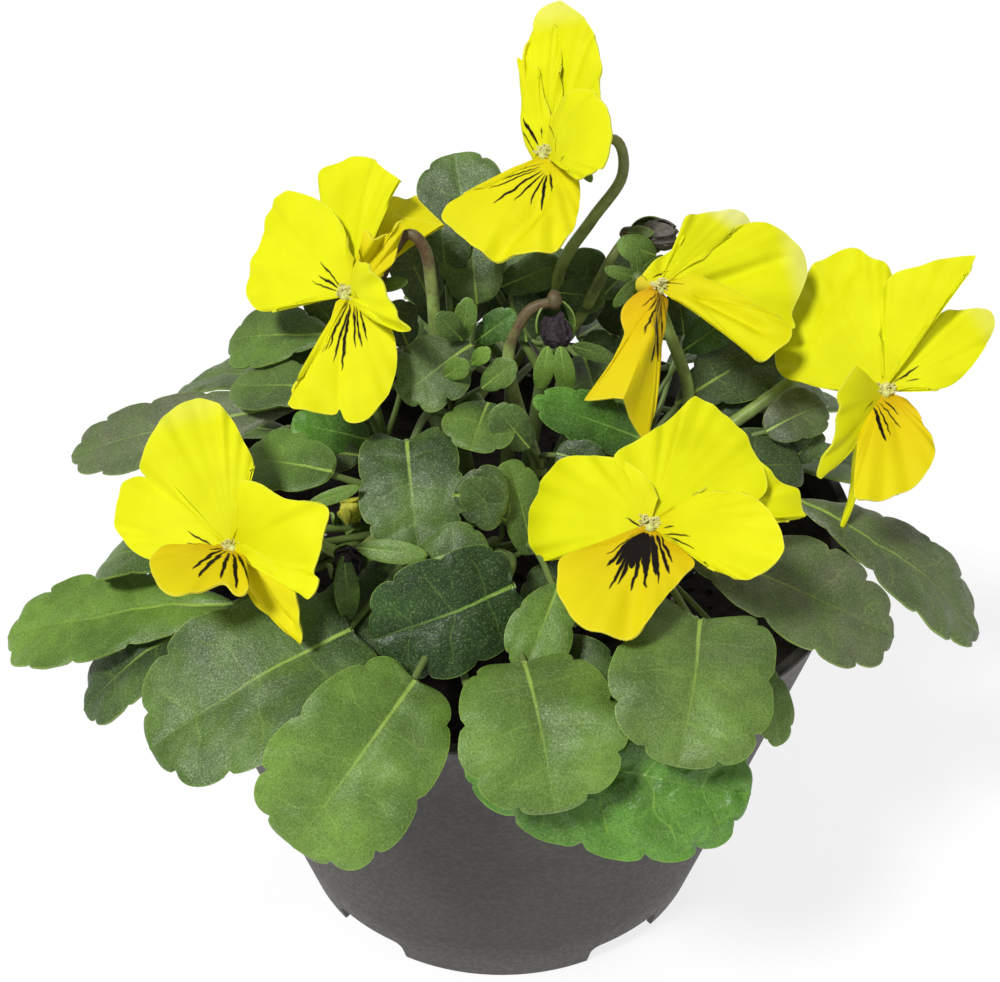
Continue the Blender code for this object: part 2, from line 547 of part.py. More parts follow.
def main():
    for thing in list(bpy.data.objects):
        bpy.data.objects.remove(thing)
    plastic = material("pot_plastic", (0.075, 0.07, 0.065), 0.6)
    soil = material("compost", (0.012, 0.010, 0.008), 0.95)
    green = material("leaf_green", (0.09, 0.17, 0.05), 0.5)
    yellow = material("petal_yellow", (0.86, 0.85, 0.01), 0.6)
    brown = material("withered_petal", (0.05, 0.03, 0.035), 0.8)
    make_pot(plastic)
    make_compost(soil, SHOOTS)
    for shoot in SHOOTS:
        carried = [flower for flower in BLOOMS + HEADS if flower.shoot == shoot.name]
        make_shoot(shoot, carried, green)
    for bloom in BLOOMS:
        make_bloom(bloom, yellow)
    for head in HEADS:
        make_head(head, brown if head.kind == "withered" else yellow)


def flower_axes(flower):
    """The way a flower looks, and its own upward direction."""
    faces = Vector(flower.faces).normalized()
    lift = (UP - faces * UP.dot(faces)).normalized()
    return faces, lift


def cup_centre(flower):
    """The middle of the green cup that carries a flower, just behind its petals."""
    faces, lift = flower_axes(flower)
    if isinstance(flower, Bloom):
        return Vector(flower.throat) - faces * (NECK_LENGTH + GAP + CUP_RADIUS) + lift * CUP_LIFT
    return Vector(flower.centre) - faces * (flower.size[1] + GAP + CUP_RADIUS)


def make_shoot(shoot, flowers, green):
    """A stem with its leaf stalks and leaves, and its flower stalks with their cups and sepals."""
    foot = Vector((*shoot.foot, HOLE_FLOOR))
    bend = Vector((*shoot.foot, COMPOST_HEIGHT + STEM_STRAIGHT))
    crown = Vector(shoot.crown)
    route = [foot, foot.lerp(bend, 0.7), bend, crown]
    pieces = [tube("stem", route, STEM_RADIUS, STEM_TOP_RADIUS)]
    for index, leaf in enumerate(shoot.leaves, 1):
        root = Vector(leaf.root)
        along = (Vector(leaf.tip) - root).normalized()
        reach = (root - crown).length
        start = bend.lerp(crown, min(0.95, max(0.15, 1 - reach / STALK_SPREAD)))
        middle = start.lerp(root, 0.55) - along * reach * STALK_SAG + UP * reach * STALK_LIFT
        pieces.append(tube(f"stalk_{index}", [start, middle, root + along * STALK_OVERLAP], STALK_RADIUS,
                           STALK_TIP_RADIUS, steps=2 if leaf.width > BIG_LEAF else 1))
        pieces.append(blade(f"leaf_{index}", leaf.root, leaf.tip, leaf.faces,
                            leaf_rows(SHAPES[leaf.shape], leaf.width), leaf.arch, leaf.fold, LEAF_THICK))
    for index, flower in enumerate(flowers, 1):
        faces, lift = flower_axes(flower)
        cup = cup_centre(flower)
        pieces.append(tube(f"flower_stalk_{index}", flower.stalk + [cup], FLOWER_STALK_RADIUS,
                           FLOWER_STALK_TIP_RADIUS))
        pieces.append(knob(f"cup_{index}", cup, (CUP_RADIUS, CUP_RADIUS), faces))
        is_bloom = isinstance(flower, Bloom)
        for order, turn in enumerate(SEPAL_TURNS if is_bloom else flower.sepals, 1):
            out = Matrix.Rotation(math.radians(turn), 3, faces) @ lift
            if is_bloom:
                root, tip, arch = cup, cup + out * SEPAL_LENGTH - faces * SEPAL_LEAN, SEPAL_ARCH
            else:
                spread, reach, arch = CLOSED_SEPAL
                root, tip = cup + out, cup + out * spread + faces * reach
            pieces.append(blade(f"sepal_{index}_{order}", root, tip, faces,
                                leaf_rows(SHAPES["sepal"], SEPAL_WIDTH), arch, 0.0, SEPAL_THICK))
    return fuse(pieces, shoot.name, green)


def make_bloom(bloom, yellow):
    """Five petals on a short neck, with the spur that the lower petal sends back under the cup."""
    faces, lift = flower_axes(bloom)
    throat = Vector(bloom.throat)
    pieces = [
        tube("neck", [throat + faces * 0.6, throat - faces * NECK_LENGTH], *NECK_RADII, steps=1),
        tube("spur", [throat - faces * 2 - lift * 0.8, throat - faces * SPUR_LENGTH - lift * SPUR_DROP],
             SPUR_RADIUS, SPUR_RADIUS, steps=1),
    ]
    for index, petal in enumerate(bloom.petals, 1):
        reach = Vector(petal.reach)
        pieces.append(blade(f"petal_{index}", throat, throat + reach, petal.faces, petal_rows(petal),
                            petal.arch, petal.fold, PETAL_THICK))
    return fuse(pieces, bloom.name, yellow)


def make_head(head, colour):
    """A shrivelled or still furled flower: a small crumpled egg."""
    egg = knob("egg", head.centre, head.size, head.faces, 2)
    for vert in egg.data.vertices:
        swell = noise.noise(vert.co * 0.6)
        vert.co += (vert.co - Vector(head.centre)) * CRUMPLE * min(0.0, swell)
    return fuse([egg], head.name, colour)


if __name__ == "__main__":
    main()
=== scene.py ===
"""Looks for a potted horned violet with yellow blooms: pot, compost, leafy shoots and flowers."""

import math
import random
from collections import namedtuple

import bmesh
import bpy
from mathutils import Matrix, Vector, noise


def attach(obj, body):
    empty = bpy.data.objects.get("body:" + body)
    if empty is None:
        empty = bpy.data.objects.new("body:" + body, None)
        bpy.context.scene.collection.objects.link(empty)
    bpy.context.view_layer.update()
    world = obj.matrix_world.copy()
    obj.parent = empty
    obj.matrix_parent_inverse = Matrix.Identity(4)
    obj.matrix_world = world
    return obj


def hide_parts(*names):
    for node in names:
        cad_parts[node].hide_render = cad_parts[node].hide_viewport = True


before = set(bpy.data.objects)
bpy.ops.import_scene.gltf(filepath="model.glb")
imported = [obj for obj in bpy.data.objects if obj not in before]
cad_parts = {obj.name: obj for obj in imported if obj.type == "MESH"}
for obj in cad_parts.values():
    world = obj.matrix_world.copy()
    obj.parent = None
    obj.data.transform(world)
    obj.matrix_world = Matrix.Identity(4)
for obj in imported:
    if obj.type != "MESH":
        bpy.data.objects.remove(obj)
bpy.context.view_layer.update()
scene = bpy.context.scene

# Camera, light and ground. The plant stands on a plain pale table and is seen from a little above.
# A soft lamp hangs above, in front and to the left, and the pale room fills in the shadows.
CAMERA_DIP = 34.45
LIT_SPOT = Vector((0, 0, 0.08))
TABLE_RADIUS = 12.0
view = bpy.data.cameras.new("camera")
view.lens = 56.7
view.sensor_width = 36.0
view.clip_start = 0.01
camera = bpy.data.objects.new("camera", view)
camera.location = (-0.0003, -0.2210, 0.2300)
camera.rotation_euler = (math.radians(90 - CAMERA_DIP), 0, 0)
scene.collection.objects.link(camera)
scene.camera = camera
scene.view_settings.view_transform = "Standard"
scene.view_settings.look = "None"


def linear(code):
    """An sRGB hex colour as linear red, green, blue and alpha."""
    shares = [int(code[place:place + 2], 16) / 255 for place in (1, 3, 5)]
    return (*(share / 12.92 if share <= 0.04045 else ((share + 0.055) / 1.055) ** 2.4
              for share in shares), 1.0)


def lamp(name, place, size, power):
    """A round soft lamp that looks at the middle of the plant."""
    light = bpy.data.lights.new(name, "AREA")
    light.shape = "DISK"
    light.size = size
    light.energy = power
    held = bpy.data.objects.new(name, light)
    held.location = place
    held.rotation_euler = (LIT_SPOT - Vector(place)).to_track_quat("-Z", "Y").to_euler()
    scene.collection.objects.link(held)


lamp("key_lamp", (-1.14, -1.49, 2.45), 0.6, 83.0)
lamp("fill_lamp", (0.7, -0.6, 0.5), 0.8, 0.7)
lamp("back_lamp", (0.3, 1.1, 1.0), 0.8, 4.5)

room = bpy.data.worlds.new("room")
room.use_nodes = True
room.node_tree.nodes["Background"].inputs["Color"].default_value = (1.0, 1.0, 1.0, 1.0)
room.node_tree.nodes["Background"].inputs["Strength"].default_value = 0.24
scene.world = room

# Every size below is in millimetres. A material's pattern is in metres, so its sizes are times MM.
MM = 0.001
# A Mix node of two colours: socket 0 is the share of the second one, and 6 and 7 are the colours.
COLOURS = {"data_type": "RGBA"}


def plug(material, socket, value):
    """Feeds a socket from another one, a plain value or a hex colour."""
    if isinstance(value, bpy.types.NodeSocket):
        material.node_tree.links.new(value, socket)
    else:
        socket.default_value = linear(value) if isinstance(value, str) else value


def add_node(material, kind, inputs, out=0, **settings):
    """Adds a shader node and gives one of its outputs. inputs goes by its sockets' names or numbers."""
    made = material.node_tree.nodes.new("ShaderNode" + kind)
    for name, value in settings.items():
        setattr(made, name, value)
    for name, value in inputs.items():
        plug(material, made.inputs[name], value)
    return made.outputs[out]


def blank(name):
    """A Principled material, and the object's own coordinates for its patterns."""
    made = bpy.data.materials.new(name)
    made.use_nodes = True
    return made, add_node(made, "TexCoord", {}, "Object")


def dress(material, **sockets):
    """Gives a material's shader its colour, gloss and relief."""
    shader = material.node_tree.nodes["Principled BSDF"]
    for name, value in sockets.items():
        plug(material, shader.inputs[name.replace("_", " ")], value)


def mesh_from(made, name):
    """Ends a bmesh and gives its mesh."""
    mesh = bpy.data.meshes.new(name)
    made.to_mesh(mesh)
    made.free()
    return mesh


# A sheet of white acrylic lit softly from below, so that shadows on it stay pale.
acrylic, where = blank("backlit_white_acrylic")
cloudy = add_node(acrylic, "TexNoise", {"Vector": where, "Scale": 1 / (40 * MM)})
colour = add_node(acrylic, "Mix", {0: cloudy, 6: "#7c7c7c", 7: "#828282"}, 2, **COLOURS)
dress(acrylic, Base_Color=colour, Roughness=0.9, Specular_IOR_Level=0.1, Emission_Color="#ffffff",
      Emission_Strength=0.8)
slab = bmesh.new()
bmesh.ops.create_circle(slab, cap_ends=True, segments=96, radius=TABLE_RADIUS)
table_mesh = mesh_from(slab, "table_top")
table_mesh.materials.append(acrylic)
table_top = bpy.data.objects.new("table_top", table_mesh)
scene.collection.objects.link(table_top)

# Pot. A thin-walled round nursery pot of recycled polypropylene, injection moulded in one go. Its wall
# leans out to a narrow rolled lip, and it stands on five feet with shallow arches between them.
RIM_RADIUS = 60.0
RIM_HEIGHT = 75.0
FOOT_RADIUS = 38.5
WALL = 1.2
LIP_DEPTH = 3.0
LIP_PROUD = 0.8
FLOOR_HEIGHT = 6.0
FLOOR_THICK = 1.5
FOOT_COUNT = 5
ARCH_HEIGHT = 5.0
ARCH_SPAN = 22.0
ARCH_CORNER = 1.8
FIRST_ARCH = 232.5
DRAIN_RADIUS = 3.0
DRAIN_CIRCLE = 24.0
EDGE_ROUND = 0.25
CUTTER_DEPTH = 12.0
POT_SIDES = 160
UP = Vector((0, 0, 1))


def show(name, mesh, node, materials, sharp=50):
    """Puts a finished mesh, in millimetres, into the scene in place of its CAD node."""
    mesh.transform(Matrix.Scale(MM, 4))
    mesh.shade_smooth()
    mesh.set_sharp_from_angle(angle=math.radians(sharp))
    for finish in materials:
        mesh.materials.append(finish)
    thing = bpy.data.objects.new(name, mesh)
    scene.collection.objects.link(thing)
    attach(thing, "root")
    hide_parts(node)


def wall_radius(height):
    """The pot's outer radius at a height."""
    return FOOT_RADIUS + (RIM_RADIUS - LIP_PROUD - FOOT_RADIUS) * height / RIM_HEIGHT


def turned(profile, sides):
    """A body turned about the upright axis from a profile of radius and height."""
    made = bmesh.new()
    ring = [made.verts.new((radius, 0, height)) for radius, height in profile]
    line = [made.edges.new(pair) for pair in zip(ring, ring[1:])]
    if profile[0][0] > 0:
        line.append(made.edges.new((ring[-1], ring[0])))
    bmesh.ops.spin(made, geom=ring + line, cent=(0, 0, 0), axis=UP, angle=math.tau, steps=sides,
                   use_merge=True)
    bmesh.ops.remove_doubles(made, verts=made.verts, dist=0.001)
    bmesh.ops.recalc_face_normals(made, faces=made.faces)
    return made


lip_low = RIM_HEIGHT - LIP_DEPTH
lip_inside = RIM_RADIUS - LIP_PROUD - WALL
# The wall's profile runs up the outside, over the lip and down the inside to the floor. The few tenths of
# a millimetre between its closest points round off the foot and the lip.
shell = turned([
    (FOOT_RADIUS - 0.3, 0), (FOOT_RADIUS, 0.3),
    *((wall_radius(height), height) for height in range(12, 61, 12)), (wall_radius(lip_low), lip_low),
    (wall_radius(lip_low) + 0.55, lip_low + 0.15), (wall_radius(lip_low) + LIP_PROUD, lip_low + 0.45),
    (RIM_RADIUS - 0.02, RIM_HEIGHT - 0.55), (RIM_RADIUS - 0.15, RIM_HEIGHT - 0.18),
    (RIM_RADIUS - 0.5, RIM_HEIGHT), (lip_inside + 0.5, RIM_HEIGHT), (lip_inside + 0.15, RIM_HEIGHT - 0.2),
    (lip_inside, RIM_HEIGHT - 0.6), (wall_radius(40) - WALL, 40),
    (wall_radius(FLOOR_HEIGHT + FLOOR_THICK) - WALL, FLOOR_HEIGHT + FLOOR_THICK),
    (0, FLOOR_HEIGHT + FLOOR_THICK), (0, FLOOR_HEIGHT), (wall_radius(FLOOR_HEIGHT) - WALL, FLOOR_HEIGHT),
    (FOOT_RADIUS - WALL, 0),
], POT_SIDES)
pot_blank = bpy.data.objects.new("pot_blank", mesh_from(shell, "pot_blank"))
scene.collection.objects.link(pot_blank)
cutters = []
for foot in range(FOOT_COUNT):
    heading = math.radians(FIRST_ARCH + foot * 360 / FOOT_COUNT)
    arch = bmesh.new()
    bmesh.ops.create_cube(arch, size=1.0)
    span = 2 * FOOT_RADIUS * math.sin(math.radians(ARCH_SPAN / 2))
    stretch = Matrix.Diagonal((CUTTER_DEPTH, span, 2 * ARCH_HEIGHT, 1.0))
    bmesh.ops.transform(arch, matrix=stretch, verts=arch.verts)
    ends = [edge for edge in arch.edges if all(vert.co.z > 0 for vert in edge.verts)
            and abs(edge.verts[0].co.x - edge.verts[1].co.x) > 1]
    bmesh.ops.bevel(arch, geom=ends, offset=ARCH_CORNER, segments=6, profile=0.5, affect="EDGES", material=-1)
    place = Matrix.Rotation(heading, 4, "Z") @ Matrix.Translation((FOOT_RADIUS, 0, 0))
    bmesh.ops.transform(arch, matrix=place, verts=arch.verts)
    turn = heading + math.pi / FOOT_COUNT
    centre = (DRAIN_CIRCLE * math.cos(turn), DRAIN_CIRCLE * math.sin(turn), FLOOR_HEIGHT + 1)
    bmesh.ops.create_cone(arch, cap_ends=True, segments=32, radius1=DRAIN_RADIUS, radius2=DRAIN_RADIUS,
                          depth=6, matrix=Matrix.Translation(centre))
    cutters.append(bpy.data.objects.new("arch", mesh_from(arch, "arch")))
    scene.collection.objects.link(cutters[-1])
    taken = pot_blank.modifiers.new("cut", "BOOLEAN")
    taken.operation = "DIFFERENCE"
    taken.solver = "EXACT"
    taken.object = cutters[-1]
edge_round = pot_blank.modifiers.new("edges", "BEVEL")
edge_round.width = EDGE_ROUND
edge_round.segments = 2
edge_round.limit_method = "ANGLE"
edge_round.angle_limit = math.radians(50)
bpy.context.view_layer.update()
pot_mesh = bpy.data.meshes.new_from_object(pot_blank.evaluated_get(bpy.context.evaluated_depsgraph_get()))
for used in [pot_blank] + cutters:
    bpy.data.objects.remove(used)

# A MapRange node with soft ends: sockets 1 and 2 are the range it reads, 3 and 4 the range it gives.
SMOOTH = {"interpolation_type": "SMOOTHSTEP"}
# Recycled polypropylene, moulded: dark grey-brown, matt, with a fine pebbled skin and a dusty foot. The
# skin's pebbles are about half a millimetre, drawn a little coarse so that they show.
polypropylene, where = blank("moulded_recycled_polypropylene")
cloudy = add_node(polypropylene, "TexNoise", {"Vector": where, "Scale": 1 / (18 * MM), "Detail": 3.0})
share = add_node(polypropylene, "MapRange", {0: cloudy, 1: 0.3, 2: 0.7}, **SMOOTH)
colour = add_node(polypropylene, "Mix", {0: share, 6: "#393733", 7: "#403d38"}, 2, **COLOURS)
specks = add_node(polypropylene, "TexNoise", {"Vector": where, "Scale": 1 / (0.9 * MM)})
share = add_node(polypropylene, "MapRange", {0: specks, 1: 0.62, 2: 0.75, 4: 0.3}, **SMOOTH)
colour = add_node(polypropylene, "Mix", {0: share, 6: colour, 7: "#55514d"}, 2, **COLOURS)
height = add_node(polypropylene, "SeparateXYZ", {0: where}, "Z")
low_down = add_node(polypropylene, "MapRange", {0: height, 1: 12 * MM, 2: 0.0, 4: 0.4}, **SMOOTH)
dusty = add_node(polypropylene, "Math", {0: low_down, 1: cloudy}, operation="MULTIPLY")
colour = add_node(polypropylene, "Mix", {0: dusty, 6: colour, 7: "#67625b"}, 2, **COLOURS)
rough = add_node(polypropylene, "MapRange", {0: specks, 1: 0.3, 2: 0.7, 3: 0.5, 4: 0.66}, **SMOOTH)
pebbles = add_node(polypropylene, "TexNoise", {"Vector": where, "Scale": 1 / (0.6 * MM), "Detail": 1.0})
relief = add_node(polypropylene, "Bump", {"Height": pebbles, "Distance": 0.05 * MM, "Strength": 0.6})
dress(polypropylene, IOR=1.49, Specular_IOR_Level=0.3, Base_Color=colour, Roughness=rough, Normal=relief)
show("nursery_pot", pot_mesh, "pot", [polypropylene], 35)

# Compost. Damp dark peat with bark crumbs and a few white perlite grains, filled to just below the rim
# and settled into a lumpy crown.
COMPOST_HEIGHT = 70.0
COMPOST_CROWN = 1.5
FLOOR_CLEAR = 0.3
WALL_CLEAR = 0.4
TOP_RINGS = 60
SOIL_SIDES = 200
CRUMB_COUNT = 420
PERLITE_EVERY = 14
CRUMB_RADIUS = 0.62
random.seed(11)
low = FLOOR_HEIGHT + FLOOR_THICK + FLOOR_CLEAR
gap = WALL + WALL_CLEAR
outer = wall_radius(COMPOST_HEIGHT) - gap
profile = [(0, low), (wall_radius(low) - gap, low), (wall_radius(40) - gap, 40), (outer, COMPOST_HEIGHT)]
for ring in range(1, TOP_RINGS + 1):
    reach = 1 - ring / TOP_RINGS
    profile.append((outer * reach, COMPOST_HEIGHT + COMPOST_CROWN * (1 - reach ** 2)))
soil = turned(profile, SOIL_SIDES)
for vert in soil.verts:
    if vert.co.z > COMPOST_HEIGHT - 0.5:
        flat = Vector((vert.co.x, vert.co.y, 0))
        edge = min(1.0, (outer - flat.length) / 2)
        lumps = 0.9 * noise.noise(flat * 0.15) + 0.5 * noise.noise(flat * 0.5)
        crumbs = 0.55 * abs(noise.noise(flat * 1.1)) + 0.3 * abs(noise.noise(flat * 2.3))
        vert.co.z += edge * (lumps + crumbs)
for crumb in range(CRUMB_COUNT):
    reach = 0.97 * math.sqrt(random.random())
    turn = random.uniform(0, math.tau)
    height = COMPOST_HEIGHT + COMPOST_CROWN * (1 - reach ** 2) + random.uniform(0.0, 0.7)
    is_white = crumb % PERLITE_EVERY == 0
    width = random.uniform(0.6, 1.0) if is_white else random.uniform(0.5, 1.5)
    long = 1.0 if is_white else random.uniform(1.0, 2.4)
    centre = (outer * reach * math.cos(turn), outer * reach * math.sin(turn), height)
    place = (Matrix.Translation(centre) @ Matrix.Rotation(random.uniform(0, math.tau), 4, "Z")
             @ Matrix.Rotation(random.uniform(-0.5, 0.5), 4, "Y")
             @ Matrix.Diagonal((width * long, width, width * 0.7, 1.0)))
    lump = bmesh.ops.create_icosphere(soil, subdivisions=1, radius=CRUMB_RADIUS, matrix=place)
    for vert in lump["verts"]:
        vert.co += 0.22 * width * noise.noise_vector(vert.co * 1.7)
        for face in vert.link_faces:
            face.material_index = 1 if is_white else 0

# Damp peat and bark: nearly black brown, crumbly, with a little gloss where it is wet.
peat, where = blank("damp_peat_compost")
clods = add_node(peat, "TexNoise", {"Vector": where, "Scale": 1 / (1.6 * MM), "Detail": 4.0,
                                    "Roughness": 0.7})
share = add_node(peat, "MapRange", {0: clods, 1: 0.35, 2: 0.7}, **SMOOTH)
colour = add_node(peat, "Mix", {0: share, 6: "#0e0b09", 7: "#261c15"}, 2, **COLOURS)
bark = add_node(peat, "TexNoise", {"Vector": where, "Scale": 1 / (0.6 * MM), "Roughness": 0.6})
share = add_node(peat, "MapRange", {0: bark, 1: 0.6, 2: 0.75, 4: 0.6}, **SMOOTH)
colour = add_node(peat, "Mix", {0: share, 6: colour, 7: "#3b2c20"}, 2, **COLOURS)
rough = add_node(peat, "MapRange", {0: clods, 1: 0.3, 2: 0.6, 3: 0.6, 4: 0.95}, **SMOOTH)
crumbs = add_node(peat, "TexNoise", {"Vector": where, "Scale": 1 / (0.8 * MM), "Detail": 5.0,
                                     "Roughness": 0.7})
relief = add_node(peat, "Bump", {"Height": crumbs, "Distance": 0.5 * MM})
dress(peat, Specular_IOR_Level=0.3, Base_Color=colour, Roughness=rough, Normal=relief)
# Perlite: expanded volcanic glass, white and crusty.
perlite, where = blank("expanded_perlite")
spots = add_node(perlite, "TexNoise", {"Vector": where, "Scale": 1 / (0.4 * MM)})
colour = add_node(perlite, "Mix", {0: spots, 6: "#a9a599", 7: "#d6d3c8"}, 2, **COLOURS)
crust = add_node(perlite, "TexNoise", {"Vector": where, "Scale": 1 / (0.3 * MM), "Detail": 3.0})
relief = add_node(perlite, "Bump", {"Height": crust, "Distance": 0.2 * MM})
dress(perlite, Roughness=0.9, Base_Color=colour, Normal=relief)
show("compost_top", mesh_from(soil, "compost_top"), "compost", [peat, perlite], 60)

# Leafy shoots. Each shoot is a juicy green stem out of the compost, with stalked leaves whose edges are
# cut into round lobes, and with the stalks, green cups and sepals of the flowers that it carries.
HOLE_FLOOR = 58.0
NECK_LENGTH = 4.0
CUP_RADIUS = 1.6
CUP_LIFT = 0.8
STEM_RADII = (1.5, 1.45, 1.3, 1.1)
LEAF_STALK_RADII = (0.85, 0.7, 0.6, 0.5)
FLOWER_STALK_RADII = (1.05, 1.0, 0.9, 0.75)
LEAF_THICK = 0.4
SEPAL_THICK = 0.3
# A leaf's relief, at its fullest on a leaf of FULL_WIDTH: the depth and half width of the grooves over its
# side veins and its midrib, and how far its skin swells between them.
FULL_WIDTH = 18
VEIN_DEPTH = 0.10
VEIN_WIDTH = 0.4
MIDRIB_DEPTH = 0.28
MIDRIB_WIDTH = 0.5
SWELL = 0.20
# A leaf puckered more than this is glossy, or lush and quilted.
GLOSSY_FROM = 1.5
QUILTED_FROM = 2.5
# A blade's outline: how many lobes a side it has, where it is widest, how full it is, how much it narrows
# towards its root, how far its root lobes reach back, and how deep the cuts between its lobes are.
Shape = namedtuple("Shape", "lobes belly fullness taper heart notch", defaults=(0.11,))
SHAPES = {
    "long": Shape(5, 0.80, 0.80, 0.60, 0.0),
    "back": Shape(3, 0.80, 0.80, 0.70, 0.0),
    "broad": Shape(4, 0.95, 0.72, 0.15, 0.12),
    "spade": Shape(4, 0.80, 0.62, 0.20, 0.12),
    "small": Shape(2, 0.90, 0.72, 0.25, 0.03),
    "oak": Shape(3, 0.90, 0.75, 0.35, 0.03, 0.24),
    "heart": Shape(4, 1.10, 0.80, 0.05, 0.20),
    "cleft": Shape(4, 1.00, 0.70, 0.0, 0.24),
    "wide": Shape(6, 0.95, 0.70, 0.10, 0.06),
    "young": Shape(2, 0.90, 0.85, 0.40, 0.0),
    "pointed": Shape(4, 1.10, 1.05, 0.20, 0.0),
    "sepal": Shape(0, 1.00, 1.05, 0.10, 0.0),
}
